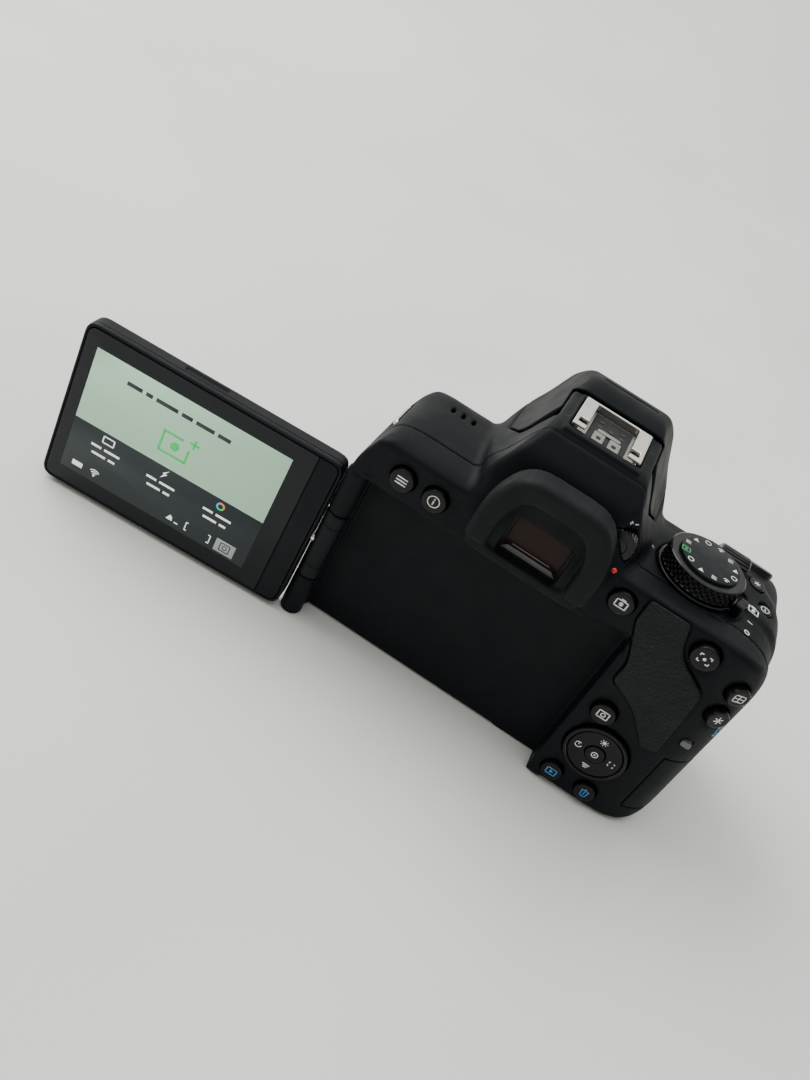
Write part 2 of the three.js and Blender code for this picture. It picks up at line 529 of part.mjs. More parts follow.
add('mode_dial', join(
  rod('z', modeCentre, MODE.radius, [MODE.low, MODE.high], 40),
  rod('z', modeCentre, MODE.hub, [LEVER.low, MODE.high]),
  rod('z', modeCentre, MODE.shaft, [MODE.shaftEnd, MODE.high], 20),
), 'plastic');
add('mode_dial_plate', rod('z', modeCentre, MODE.disc, [MODE.high + GAP, MODE.discTop], 40), 'darkMetal');
const leverTip = new THREE.BoxGeometry(LEVER.tipLength, LEVER.tipWidth, LEVER.tip - LEVER.low);
leverTip.translate(LEVER.tipEnd - LEVER.tipLength / 2, 0, (LEVER.tip + LEVER.low) / 2);
leverTip.rotateZ(THREE.MathUtils.degToRad(LEVER.turn));
leverTip.translate(MODE.x, MODE.y, 0);
add('power_lever', join(ring('z', modeCentre, LEVER.radius, LEVER.bore, [LEVER.low, LEVER.high]),
  solid(leverTip)), 'plastic');

const dialGeometry = new THREE.CylinderGeometry(FRONT_DIAL.radius, FRONT_DIAL.radius,
  FRONT_DIAL.high - FRONT_DIAL.low, 30);
dialGeometry.rotateZ(Math.PI / 2);
dialGeometry.translate((FRONT_DIAL.low + FRONT_DIAL.high) / 2, FRONT_DIAL.y, FRONT_DIAL.z);
add('front_dial', solid(dialGeometry), 'rubber');
add('shutter_button', shutterRod(SHUTTER.radius, [-SHUTTER.deep, SHUTTER.proud]), 'button');
for (const [name, [x, y, radius]] of Object.entries(TOP_BUTTONS)) {
  add(name, rod('z', [x, y], radius, [SHOULDER - 6.4, SHOULDER - 0.2 - (x - 60) * 0.3], 24), 'button');
}

// ---------------------------------------------------------------- front cover, grip and doors

const gripBand = (grow) => cut(
  box([44.5 - grow, 90], [3 - grow, 90], [6 - grow, TOP_SPLIT - 2 * GAP + grow]),
  cardRegion(0.8 - grow),
);
const TERMINAL = { rear: -7.5, front: 10.5, pivotX: -55.2, pivotRoom: 2 };
const TERMINAL_DOORS = {
  terminal_cover_upper: [36, 57],
  terminal_cover_lower: [12.5, 33.5],
};
const doorBox = ([low, high], grow) => box([-70, -54], [TERMINAL.rear - grow, TERMINAL.front + grow],
  [low - grow, high + grow]);
const pivotRoom = ([low, high]) => rod('z', [TERMINAL.pivotX, TERMINAL.front - GAP], TERMINAL.pivotRoom,
  [low - GAP, high + GAP], 20);
const RELEASE = { x: -42.4, z: 33, radius: 5 };
const TIMER_LAMP = { x: 40.2, z: 52, radius: 2 };
const LOCK_PIN = { x: -29.7, radius: 1.7 };

// Under the rubber the front cover is lower by the skin's thickness.
const frontSkin = join(cut(casing, gripBand(GAP)), common(casing, gripBand(GAP), form(SKIN + GAP)));
add('front_cover', largest(cut(common(frontSkin, frontRegion),
  mountSeat,
  rod('y', [LOCK_PIN.x, LENS.z], LOCK_PIN.radius + 1.6, [30, 60], 20),
  rod('y', [RELEASE.x, RELEASE.z], RELEASE.radius + GAP, [5, 40]),
  rod('y', [TIMER_LAMP.x, TIMER_LAMP.z], TIMER_LAMP.radius + GAP, [15, 40], 20),
  ...Object.values(TERMINAL_DOORS).map((span) => doorBox(span, GAP)),
  ...Object.values(TERMINAL_DOORS).map((span) => pivotRoom(span)),
  cardRegion(GAP), cardSweep)), 'plastic');
add('grip_rubber', largest(common(gripBand(0), cut(outer, form(SKIN)))), 'rubber');
add('self_timer_lamp', rod('y', [TIMER_LAMP.x, TIMER_LAMP.z], TIMER_LAMP.radius, [20, FRONT + 0.2], 20),
  'lamp');
for (const [name, span] of Object.entries(TERMINAL_DOORS)) {
  add(name, common(doorBox(span, 0), cut(outer, form(1.6))), 'rubber');
}
add('terminal_block', cut(box([-50.5, -46], [TERMINAL.rear + 1, TERMINAL.front - 1], [12, 57]),
  box([-60, -48], [-3, 6], [40, 48]), box([-60, -48], [-4, 7], [15, 20]),
  rod('x', [1.5, 27.5], 2.2, [-60, -48], 20)), 'darkMetal');

// ---------------------------------------------------------------- lens mount

add('lens_mount_ring', cut(
  ring('y', [0, LENS.z], LENS.ring, LENS.throat, [LENS.flange - 2.6, LENS.flange], 56),
  rod('y', [LOCK_PIN.x, LENS.z], LOCK_PIN.radius + GAP, [30, 60], 20),
), 'metal');
add('lens_contact_block', box([-9, 9], [36.5, LENS.flange - 3.2], [15.6, 18.6]), 'plastic');
add('lens_lock_pin', rod('y', [LOCK_PIN.x, LENS.z], LOCK_PIN.radius, [37, LENS.flange + 0.7], 20), 'metal');
add('lens_release_button', rod('y', [RELEASE.x, RELEASE.z], RELEASE.radius, [18, FRONT + 2.2]), 'button');

// ---------------------------------------------------------------- inside

const BOX = { half: 17, low: 25.5, high: 56.4, rear: 8.2, front: 40.6, wall: 1.8 };
add('mirror_box', cut(
  box([-BOX.half, BOX.half], [BOX.rear, BOX.front], [BOX.low, BOX.high]),
  box([-BOX.half + BOX.wall, BOX.half - BOX.wall], [0, 50], [BOX.low + BOX.wall, BOX.high - BOX.wall]),
  box([-13.4, 13.4], [13, 36], [50, 60]),
), 'darkMetal');
const MIRROR = { y: 11.4, z: 52.6, half: 14, length: 26, thick: 1.2, lean: -45 };
const mirrorPlate = new THREE.BoxGeometry(2 * MIRROR.half, MIRROR.length, MIRROR.thick);
mirrorPlate.translate(0, MIRROR.length / 2, 0).rotateX(THREE.MathUtils.degToRad(MIRROR.lean));
mirrorPlate.translate(0, MIRROR.y, MIRROR.z);
add('main_mirror', solid(mirrorPlate), 'mirror');

// The focusing screen lies over the mirror, and the roof-shaped mirrors stand on it.
add('focusing_screen', box([-13.2, 13.2], [12, 36.5], [BOX.high + GAP, BOX.high + 1.8]), 'glass');
const PENTA = { half: 14, low: 58.8, eaves: 66, ridge: 73.6, rear: 9, front: 35 };
add('pentamirror', prism(outline([[-PENTA.half, PENTA.low, 1], [PENTA.half, PENTA.low, 1],
  [PENTA.half, PENTA.eaves], [0, PENTA.ridge], [-PENTA.half, PENTA.eaves]]), 'y',
  [PENTA.rear, PENTA.front]), 'mirror');

// The shutter's curtain stands between a frame opening on each side, ahead of the sensor.
const CURTAIN = { rear: 5.2, front: 6.2 };
const gate = [[-12.2, 12.2], [LENS.z - 8.2, LENS.z + 8.2]];
add('shutter_unit', cut(box([-21, 21], [3.6, 7.8], [22, 60]),
  box(gate[0], [0, CURTAIN.rear], gate[1]), box(gate[0], [CURTAIN.front, 9], gate[1])), 'darkMetal');
const SENSOR = { halfWidth: 11.2, halfHeight: 7.5, front: 0, carrier: -1 };
add('image_sensor', join(box([-16, 16], [-4.6, SENSOR.carrier], [29, 53]),
  box([-SENSOR.halfWidth, SENSOR.halfWidth], [SENSOR.carrier - 0.1, SENSOR.front],
    [LENS.z - SENSOR.halfHeight, LENS.z + SENSOR.halfHeight])), 'glass');
add('main_board', box([-44, 42], [-8.4, -6.8], [5, 56]), 'board');
add('battery', box([50, 65], [1.2, 34.2], [BASE + 2 * GAP, 49.3]), 'darkMetal');
add('memory_card', box([39, 71], [-4.4, -2.3], [8.6, 32.6]), 'plastic');

// ---------------------------------------------------------------- base

const BATTERY_DOOR = { left: 46, right: 70, rear: 0, front: 37 };
const batteryShape = (grow) => roundRect([BATTERY_DOOR.left - grow, BATTERY_DOOR.right + grow],
  [BATTERY_DOOR.rear - grow, BATTERY_DOOR.front + grow], 3);
const TRIPOD = { y: 14, radius: 6.5, hole: 3.2, high: 11 };
const doorRoom = rod('y', [BATTERY_DOOR.left, BASE / 2], 2.2, [-1, 40], 16);
add('bottom_cover', cut(common(outer, bottomRegion),
  prism(batteryShape(GAP), 'z', [-5, 10]), doorRoom,
  rod('z', [0, TRIPOD.y], TRIPOD.radius + GAP, [-5, 10]), cardRegion(GAP)), 'plastic');
add('battery_door', common(prism(batteryShape(0), 'z', [0.2, BASE]), form(0.2)), 'plastic');
add('tripod_socket', ring('z', [0, TRIPOD.y], TRIPOD.radius, TRIPOD.hole, [0, TRIPOD.high]), 'metal');

export default camera;
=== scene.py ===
# A digital single-lens reflex camera, seen from behind with its screen swung open.
# Shapes are in millimetres and turned into metres with MM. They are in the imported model's frame:
# +x to the right seen from behind, +y forwards, +z up, origin on the base under the lens axis.
import math

import bmesh
import bpy
import numpy as np
from mathutils import Matrix, Vector


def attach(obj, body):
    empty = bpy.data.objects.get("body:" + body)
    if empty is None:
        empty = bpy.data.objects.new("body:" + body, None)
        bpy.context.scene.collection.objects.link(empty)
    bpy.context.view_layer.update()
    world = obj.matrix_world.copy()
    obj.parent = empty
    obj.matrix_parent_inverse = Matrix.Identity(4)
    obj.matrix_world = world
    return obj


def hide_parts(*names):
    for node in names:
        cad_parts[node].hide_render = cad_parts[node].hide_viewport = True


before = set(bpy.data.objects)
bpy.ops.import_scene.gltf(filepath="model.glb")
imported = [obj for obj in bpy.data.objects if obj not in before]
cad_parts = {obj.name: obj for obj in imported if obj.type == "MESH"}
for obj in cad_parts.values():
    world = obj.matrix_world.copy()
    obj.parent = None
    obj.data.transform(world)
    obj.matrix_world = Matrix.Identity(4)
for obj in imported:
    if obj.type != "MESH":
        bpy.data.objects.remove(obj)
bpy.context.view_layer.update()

MM = 0.001

# ---------------------------------------------------------------- driving dimensions

LEFT, RIGHT = -56.4, 75.0
REAR, FRONT, GRIP_FRONT = -20.5, 25.0, 44.0
SHOULDER, HEIGHT = 77.0, 102.3
REAR_SPLIT, TOP_SPLIT, BASE = -10.0, 61.0, 3.2
EYEPIECE_SIDE = 22.4
SEAM = 0.14            # half the gap between two covers
OVERLAP = 0.8          # how far the top cover runs under the rear cover beside the eyepiece
LUGS = {"left": ((-50.3, 2, 67.5), -60), "right": ((70.5, 11, 65), 70)}   # place and lean
SKIN, WALL = 1.0, 3.0
LENS = {"z": 41, "flange": 44, "throat": 27, "ring": 32.5, "barrel": 36, "front": 42}
HINGE = (-52.9, -17.0, 28.9)      # where the screen's two axes cross
SCREEN = {"open": 5, "tilt": -3.6, "knuckle": 3.5, "reach": 3.8, "length": 83.7, "height": 55.5,
          "thick": 7, "offset": 4.6, "low": 16, "high": 41.5}
DISPLAY = (64.0, 42.7)
BAY = {"left": -49.3, "right": 35.2, "top": 57.8, "floor": -11.5}
FLASH = {"y": 8.2, "z": 87.5, "arm": 5.5, "sweep": 13.9, "base": 80, "tower": 15, "front": 16.3}
SHOE = {"rear": -5.5, "front": 12.7, "half": 10.6, "top": 100.1, "floor": 97.4, "seat": 96.6}
MODE = {"x": 42.4, "y": 1.8, "radius": 12, "low": 77.3, "high": 82.3, "disc": 9.4, "top": 83.2}
LEVER = {"radius": 12.8, "low": 75.9, "high": 77.0, "turn": -20, "tip": 80, "end": 15.4}
PAD = {"x": 48.1, "z": 21, "ring": 9.7, "keys": 8.2, "centre": 3}
CARD = {"low": 8, "high": 32, "rear": 64.5, "front": 12}
CORNER_TURN = 24

# ---------------------------------------------------------------- distance fields


class Grid:
    """The points of a box that a distance field is sampled at."""

    def __init__(self, low, high, step):
        self.step = step
        self.low = np.array(low, float) - 2 * step
        counts = np.ceil((np.array(high) + 2 * step - self.low) / step).astype(int) + 1
        x, y, z = (self.low[k] + step * np.arange(counts[k]) for k in range(3))
        self.x = x.astype(np.float32)[:, None, None]
        self.y = y.astype(np.float32)[None, :, None]
        self.z = z.astype(np.float32)[None, None, :]


def both(a, b, radius=0.3):
    """What is in both shapes, with the edge between them rounded."""
    corner = np.hypot(np.maximum(a + radius, 0), np.maximum(b + radius, 0))
    return np.minimum(-radius, np.maximum(a, b)) + corner


def either(a, b, radius=0.3):
    """What is in one shape or the other, with a fillet between them."""
    return -both(-a, -b, radius)


def less(a, b, radius=0.3):
    return both(a, -b, radius)


def span(values, low, high):
    return np.maximum(low - values, values - high)


def box_field(g, xs, ys, zs, radius=0.3):
    return both(both(span(g.x, *xs), span(g.y, *ys), radius), span(g.z, *zs), radius)


def rod_field(u, v, centre, radius):
    return np.hypot(u - centre[0], v - centre[1]) - radius


def ball_field(g, centre, radius):
    return np.sqrt((g.x - centre[0]) ** 2 + (g.y - centre[1]) ** 2 + (g.z - centre[2]) ** 2) - radius


def corner_path(points, steps=6):
    """The corners of an outline given as (u, v, corner radius)."""
    ends = [np.array(point[:2], float) for point in points]
    path = []
    for i, point in enumerate(points):
        here = ends[i]
        sides = [ends[i - 1] - here, ends[(i + 1) % len(ends)] - here]
        lengths = [np.linalg.norm(side) for side in sides]
        reach = min(point[2] if len(point) > 2 else 0, 0.49 * lengths[0], 0.49 * lengths[1])
        if reach <= 0:
            path.append(here)
            continue
        enter, leave = (here + side / length * reach for side, length in zip(sides, lengths))
        for t in np.linspace(0, 1, steps):
            path.append((1 - t) ** 2 * enter + 2 * t * (1 - t) * here + t ** 2 * leave)
    return np.array(path)


def outline_field(points, u, v):
    """Signed distance to an outline in the plane of u and v, negative inside it."""
    path = corner_path(points)
    nearest, inside = np.float32(1e9), False
    for (a, b), (c, d) in zip(path, np.roll(path, -1, axis=0)):
        edge = (c - a, d - b)
        along = ((u - a) * edge[0] + (v - b) * edge[1]) / (edge[0] ** 2 + edge[1] ** 2)
        along = np.clip(along, 0, 1)
        gap = (u - a - along * edge[0]) ** 2 + (v - b - along * edge[1]) ** 2
        nearest = np.minimum(nearest, gap)
        if d != b:
            inside = inside ^ (((b > v) != (d > v)) & (u < a + (v - b) * edge[0] / edge[1]))
    return np.where(inside, -1, 1) * np.sqrt(nearest)


def round_rect(us, vs, radius):
    (u0, u1), (v0, v1) = us, vs
    return [(u0, v0, radius), (u1, v0, radius), (u1, v1, radius), (u0, v1, radius)]


CORNERS = np.array([(i, j, k) for i in (0, 1) for j in (0, 1) for k in (0, 1)])
EDGES = [(a, b) for a in range(8) for b in range(a + 1, 8) if abs(CORNERS[a] - CORNERS[b]).sum() == 1]


def net(field, g):
    """Points and four-sided faces of the surface where the field is zero."""
    field = field.astype(np.float32)
    for axis in range(3):
        for end in (0, -1):
            border = np.moveaxis(field, axis, 0)[end]
            np.maximum(border, g.step / 2, out=border)
    inside = field < 0
    counts = np.zeros(tuple(n - 1 for n in field.shape), np.int8)
    for i, j, k in CORNERS:
        counts += inside[i:i + counts.shape[0], j:j + counts.shape[1], k:k + counts.shape[2]]
    cells = np.argwhere((counts > 0) & (counts < 8))
    values = np.stack([field[tuple((cells + corner).T)] for corner in CORNERS], 1)
    total, hits = np.zeros((len(cells), 3)), np.zeros((len(cells), 1))
    for a, b in EDGES:
        crossed = (values[:, a] < 0) != (values[:, b] < 0)
        share = values[crossed, a] / (values[crossed, a] - values[crossed, b])
        total[crossed] += CORNERS[a] + share[:, None] * (CORNERS[b] - CORNERS[a])
        hits[crossed] += 1
    points = g.low + g.step * (cells + total / hits)

    index = np.zeros(counts.shape, np.int32)
    index[tuple(cells.T)] = np.arange(len(cells))
    faces = []
    for axis in range(3):
        ahead, after = (axis + 1) % 3, (axis + 2) % 3
        low = np.take(inside, range(field.shape[axis] - 1), axis)
        high = np.take(inside, range(1, field.shape[axis]), axis)
        crossing = np.argwhere(low != high)
        leaving = low[tuple(crossing.T)]
        ring = []
        for back, up in ((1, 1), (0, 1), (0, 0), (1, 0)):
            cell = crossing.copy()
            cell[:, ahead] -= back
            cell[:, after] -= up
            ring.append(index[tuple(cell.T)])
        quads = np.stack(ring, 1)
        quads[~leaving] = quads[~leaving][:, ::-1]
        faces.append(quads)
    return points, np.concatenate(faces)


# ---------------------------------------------------------------- making pieces


def piece(name, points, faces, material, body, nodes, smooth):
    """Adds one mesh of millimetre points, which rides on a body and stands for some nodes."""
    mesh = bpy.data.meshes.new(name)
    faces = np.asarray(faces)
    points = np.asarray(points, np.float32) * MM
    mesh.vertices.add(len(points))
    mesh.vertices.foreach_set("co", points.ravel())
    mesh.loops.add(faces.size)
    mesh.loops.foreach_set("vertex_index", faces.astype(np.int32).ravel())
    mesh.polygons.add(len(faces))
    mesh.polygons.foreach_set("loop_start", np.arange(0, faces.size, faces.shape[1], dtype=np.int32))
    mesh.update(calc_edges=True)
    return place_piece(name, mesh, material, body, nodes, smooth)


def place_piece(name, mesh, material, body, nodes, smooth):
    mesh.validate()
    mesh.shade_smooth()
    if smooth:
        mesh.set_sharp_from_angle(angle=smooth)
    mesh.materials.append(material)
    made = bpy.data.objects.new(name, mesh)
    bpy.context.collection.objects.link(made)
    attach(made, body)
    if nodes:
        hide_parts(*nodes)
    return made


def field_piece(name, field, g, material, body, nodes=(), turn=None, smooth=None):
    points, faces = net(field, g)
    if turn is not None:
        points = points @ np.array(turn.to_3x3()).T + np.array(turn.translation)
    return piece(name, points, faces, material, body, nodes, smooth)


def basis(origin, u, v):
    """A matrix whose columns are u, v and their normal, in millimetres."""
    u, v = Vector(u).normalized(), Vector(v).normalized()
    rows = Matrix((u, v, u.cross(v))).transposed()
    return Matrix.Translation(origin) @ rows.to_4x4()


class Sheet:
    """Gathers points and faces of a mesh in a local frame: u, v across and w out of the surface."""

    def __init__(self):
        self.points, self.faces = [], []

    def prism(self, outline, low, high):
        start, count = len(self.points), len(outline)
        self.points += [(u, v, low) for u, v in outline] + [(u, v, high) for u, v in outline]
        self.faces.append([start + i for i in range(count)][::-1])
        self.faces.append([start + count + i for i in range(count)])
        for i in range(count):
            j = (i + 1) % count
            self.faces.append([start + i, start + j, start + count + j, start + count + i])

    def bar(self, a, b, width, low, high):
        a, b = np.array(a, float), np.array(b, float)
        side = (b - a) / np.linalg.norm(b - a)
        side = np.array((-side[1], side[0])) * width / 2
        self.prism([a - side, b - side, b + side, a + side], low, high)

    def arc(self, centre, radius, width, low, high, start=0.0, turn=360.0, steps=28):
        """A flat ring, or a part of one with its two ends closed."""
        first, whole = len(self.points), turn >= 360
        section = [(radius - width / 2, low), (radius + width / 2, low), (radius + width / 2, high),
                   (radius - width / 2, high)]
        count = steps if whole else steps + 1
        for i in range(count):
            angle = math.radians(start + turn * i / steps)
            self.points += [(centre[0] + r * math.cos(angle), centre[1] + r * math.sin(angle), w)
                            for r, w in section]
        for i in range(steps):
            here, ahead = first + 4 * i, first + 4 * ((i + 1) % count)
            for k in range(4):
                m = (k + 1) % 4
                self.faces.append([here + k, here + m, ahead + m, ahead + k])
        if not whole:
            self.faces.append([first + k for k in range(4)][::-1])
            self.faces.append([first + 4 * steps + k for k in range(4)])

    def disc(self, centre, radius, low, high, sides=20):
        turns = [2 * math.pi * i / sides for i in range(sides)]
        self.prism([(centre[0] + radius * math.cos(t), centre[1] + radius * math.sin(t)) for t in turns],
                   low, high)

    def lathe(self, profile, segments, ripple=None):
        """A solid of revolution about w from (radius, w) points, which start and end at radius 0
        or close on themselves. ripple(angle, w) is added to the radius."""
        start, count = len(self.points), len(profile)
        for s in range(segments):
            angle = 2 * math.pi * s / segments
            for radius, w in profile:
                grown = radius + (ripple(angle, w, radius) if ripple else 0)
                self.points.append((grown * math.cos(angle), grown * math.sin(angle), w))
        for s in range(segments):
            t = (s + 1) % segments
            for i in range(count):
                j = (i + 1) % count
                if profile[i][0] == 0 and profile[j][0] == 0:
                    continue
                self.faces.append([start + s * count + i, start + s * count + j,
                                   start + t * count + j, start + t * count + i])

    def rounded(self, outline, low, high, bevel, steps=3):
        """A prism with rounded rims, from an outline that runs anticlockwise."""
        path = np.array(outline, float)
        before, after = np.roll(path, 1, 0), np.roll(path, -1, 0)
        tangents = (after - before)
        tangents /= np.linalg.norm(tangents, axis=1)[:, None]
        inward = np.stack((-tangents[:, 1], tangents[:, 0]), 1)
        levels = []
        for i in range(steps + 1):
            angle = i / steps * math.pi / 2
            levels.append((bevel * (1 - math.sin(angle)), low + bevel * (1 - math.cos(angle))))
        for i in range(steps + 1):
            angle = i / steps * math.pi / 2
            levels.append((bevel * (1 - math.cos(angle)), high - bevel * (1 - math.sin(angle))))
        start, count = len(self.points), len(path)
        for inset, w in levels:
            self.points += [(u, v, w) for u, v in path + inward * inset]
        self.faces.append([start + i for i in range(count)][::-1])
        last = start + count * (len(levels) - 1)
        self.faces.append([last + i for i in range(count)])
        for level in range(len(levels) - 1):
            base = start + level * count
            for i in range(count):
                j = (i + 1) % count
                self.faces.append([base + i, base + j, base + count + j, base + count + i])

    def draw(self, strokes, low, high):
        """Strokes are (method, *values), where the two heights come after the stroke's own measures."""
        measures = {"bar": 3, "arc": 3, "disc": 2, "prism": 1}
        for kind, *values in strokes:
            own = measures[kind]
            getattr(self, kind)(*values[:own], low, high, *values[own:])

    def make(self, name, place, material, body, nodes=(), smooth=math.radians(35)):
        mesh = bpy.data.meshes.new(name)
        points = [tuple((place @ Vector(p)) * MM) for p in self.points]
        mesh.from_pydata(points, [], self.faces)
        merge = bmesh.new()
        merge.from_mesh(mesh)
        bmesh.ops.remove_doubles(merge, verts=merge.verts, dist=1e-7)
        bmesh.ops.dissolve_degenerate(merge, edges=merge.edges, dist=1e-7)
        bmesh.ops.recalc_face_normals(merge, faces=merge.faces)
        merge.to_mesh(mesh)
        merge.free()
        return place_piece(name, mesh, material, body, nodes, smooth)

# ---------------------------------------------------------------- materials


class Nodes:
    """A material's node tree, built by short calls."""

    def __init__(self, name):
        self.material = bpy.data.materials.new(name)
        self.material.use_nodes = True
        self.tree = self.material.node_tree
        self.shader = self.tree.nodes["Principled BSDF"]

    def set(self, **values):
        for key, value in values.items():
            self.shader.inputs[key.replace("_", " ")].default_value = value
        return self

    def add(self, kind, output, **inputs):
        node = self.tree.nodes.new(kind)
        for key, value in inputs.items():
            socket = node.inputs[key.replace("_", " ")]
            if isinstance(value, bpy.types.NodeSocket):
                self.tree.links.new(value, socket)
            else:
                socket.default_value = value
        return node.outputs[output]

    def link(self, socket, name):
        self.tree.links.new(socket, self.shader.inputs[name])

    def place(self):
        return self.add("ShaderNodeTexCoord", "Object")

    def noise(self, size, detail=3.0):
        """Noise with features of about size millimetres."""
        return self.add("ShaderNodeTexNoise", "Fac", Vector=self.place(), Scale=1 / (size * MM),
                        Detail=detail, Roughness=0.55)

    def cells(self, size):
        """Distance to the nearest cell centre, for leather-like pebbles."""
        return self.add("ShaderNodeTexVoronoi", "Distance", Vector=self.place(), Scale=1 / (size * MM))

    def mix(self, fac, dark, light):
        ramp = self.tree.nodes.new("ShaderNodeValToRGB")
        self.tree.links.new(fac, ramp.inputs["Fac"])
        for element, at, colour in zip(ramp.color_ramp.elements, (0.32, 0.68), (dark, light)):
            element.position = at
            element.color = (*colour, 1)
        return ramp.outputs["Color"]

    def spread(self, fac, low, high):
        node = self.tree.nodes.new("ShaderNodeMapRange")
        self.tree.links.new(fac, node.inputs["Value"])
        for key, value in (("From Min", 0.3), ("From Max", 0.7), ("To Min", low), ("To Max", high)):
            node.inputs[key].default_value = value
        return node.outputs["Result"]

    def bump(self, height, depth, strength=1.0):
        """Raises the surface by depth millimetres where height is 1."""
        return self.add("ShaderNodeBump", "Normal", Height=height, Distance=depth * MM, Strength=strength)


def varied(name, colour, slot, roughness, change=0.14, patch=14, **values):
    """A material whose colour and roughness vary a little from place to place."""
    n = Nodes(name)
    low, high = (tuple(min(c * k, 1) for c in colour) for k in (1 - change, 1 + change))
    n.link(n.mix(n.noise(patch, 4), low, high), "Base Color")
    n.link(n.spread(n.noise(patch * 0.6, 4), roughness * 0.88, roughness * 1.12), "Roughness")
    n.set(**values)
    return n


def grained(name, colour, slot, roughness, size, depth, **values):
    """Plastic moulded against a fine eroded grain."""
    n = varied(name, colour, slot, roughness, **values)
    n.link(n.bump(n.noise(size, 2), depth), "Normal")
    return n.material


def leather(name, colour, roughness, size, depth):
    """Rubber with a pebbled leather grain."""
    n = varied(name, colour, "rubber", roughness, Specular_IOR_Level=0.22)
    pebbles = n.bump(n.cells(size), -depth)
    fine = n.add("ShaderNodeBump", "Normal", Height=n.noise(size * 0.3, 3), Distance=depth * 0.4 * MM,
                 Normal=pebbles)
    n.link(fine, "Normal")
    return n.material


def glowing(name, colour, slot, strength, roughness=0.35):
    n = varied(name, colour, slot, roughness, change=0.03, patch=30)
    n.set(Emission_Color=(*colour, 1), Emission_Strength=strength, Specular_IOR_Level=0.15)
    return n.material


def metal(name, colour, slot, roughness, scratch=0.002):
    n = varied(name, colour, slot, roughness, change=0.08, patch=5, Metallic=1.0)
    n.link(n.bump(n.noise(0.4, 5), scratch), "Normal")
    return n.material


def glass(name, colour, slot, roughness=0.04, **values):
    n = varied(name, colour, slot, roughness, change=0.1, patch=8, Coat_Weight=1.0, Coat_Roughness=0.03)
    n.set(**values)
    n.link(n.bump(n.noise(6, 2), 0.002), "Normal")
    return n.material


BLACK = (0.0026, 0.0042, 0.0062)
M = {
    "shell": grained("shell", BLACK, "body_plastic", 0.55, 0.16, 0.016, Specular_IOR_Level=0.13),
    "shell_smooth": grained("shell_smooth", (0.0028, 0.0042, 0.0058), "body_plastic", 0.42, 0.12, 0.005,
                            Specular_IOR_Level=0.17),
    "screen_plastic": grained("screen_plastic", (0.0030, 0.0044, 0.0068), "body_plastic", 0.48, 0.16, 0.010,
                              Specular_IOR_Level=0.17),
    "leather": leather("leather", (0.0046, 0.0064, 0.0078), 0.58, 0.95, 0.34),
    "soft_rubber": grained("soft_rubber", (0.0050, 0.0070, 0.0084), "rubber", 0.66, 0.25, 0.010,
                           Specular_IOR_Level=0.17),
    "button": grained("button", (0.0024, 0.0030, 0.0036), "control_plastic", 0.28, 0.3, 0.003,
                      Specular_IOR_Level=0.22),
    "dial": grained("dial", (0.0034, 0.0042, 0.0050), "control_plastic", 0.24, 0.25, 0.004,
                    Specular_IOR_Level=0.28),
    "dial_top": metal("dial_top", (0.024, 0.027, 0.030), "dial_metal", 0.5),
    "chrome": metal("chrome", (0.76, 0.735, 0.69), "bright_metal", 0.22),
    "spring_metal": metal("spring_metal", (0.30, 0.30, 0.29), "bright_metal", 0.3),
    "dark_metal": metal("dark_metal", (0.055, 0.058, 0.062), "dark_metal", 0.42),
    "mirror_face": metal("mirror_face", (0.86, 0.87, 0.87), "mirror", 0.05, 0.0002),
    "eyepiece": glass("eyepiece", (0.0180, 0.0070, 0.0058), "optic_glass", 0.30, Coat_Weight=0.04,
                      Specular_IOR_Level=0.12),
    "screen_glass": glass("screen_glass", (0.0034, 0.0050, 0.0080), "bezel_glass", 0.12, Coat_Weight=0.12,
                          Specular_IOR_Level=0.20),
    "optic": glass("optic", (0.30, 0.33, 0.34), "optic_glass", 0.05),
    "flash_lens": glass("flash_lens", (0.72, 0.73, 0.70), "lamp", 0.2),
    "lamp_grey": grained("lamp_grey", (0.115, 0.120, 0.120), "lamp", 0.3, 0.3, 0.003),
    "board": grained("board", (0.010, 0.090, 0.045), "circuit", 0.5, 1.2, 0.05),
    "cell": grained("cell", (0.030, 0.032, 0.034), "battery_shell", 0.4, 0.4, 0.005),
    "card": grained("card", (0.020, 0.030, 0.070), "control_plastic", 0.45, 0.3, 0.004),
    "white": grained("white", (0.78, 0.79, 0.78), "control_plastic", 0.5, 0.4, 0.002),
    "blue": grained("blue", (0.050, 0.260, 0.560), "control_plastic", 0.45, 0.4, 0.002),
    "green": grained("green", (0.030, 0.420, 0.120), "control_plastic", 0.45, 0.4, 0.002),
    "red": grained("red", (0.640, 0.020, 0.020), "control_plastic", 0.35, 0.4, 0.002),
    "gold": metal("gold", (0.83, 0.60, 0.26), "bright_metal", 0.25),
    "hollow": grained("hollow", (0.0035, 0.0038, 0.0042), "body_plastic", 0.7, 0.4, 0.01),
    "lit_pale": glowing("lit_pale", (0.310, 0.480, 0.350), "display", 0.72),
    "lit_grey": glowing("lit_grey", (0.030, 0.036, 0.038), "display", 0.42),
    # Pale grey for the eyepiece sill: painted light on the lower wall of the viewfinder tunnel
    "sill_painted_light": grained("sill_painted_light", (0.150, 0.160, 0.160), "body_plastic", 0.35, 0.3, 0.003),
    "lit_ink": glowing("lit_ink", (0.050, 0.055, 0.065), "display", 0.15),
    "lit_white": glowing("lit_white", (0.800, 0.830, 0.820), "display", 0.80),
    "lit_green": glowing("lit_green", (0.035, 0.500, 0.110), "display", 0.65),
    "lit_orange": glowing("lit_orange", (0.850, 0.240, 0.060), "display", 0.60),
    "lit_blue": glowing("lit_blue", (0.080, 0.350, 0.750), "display", 0.60),
    "lit_box": glowing("lit_box", (0.300, 0.320, 0.320), "display", 0.50),
}

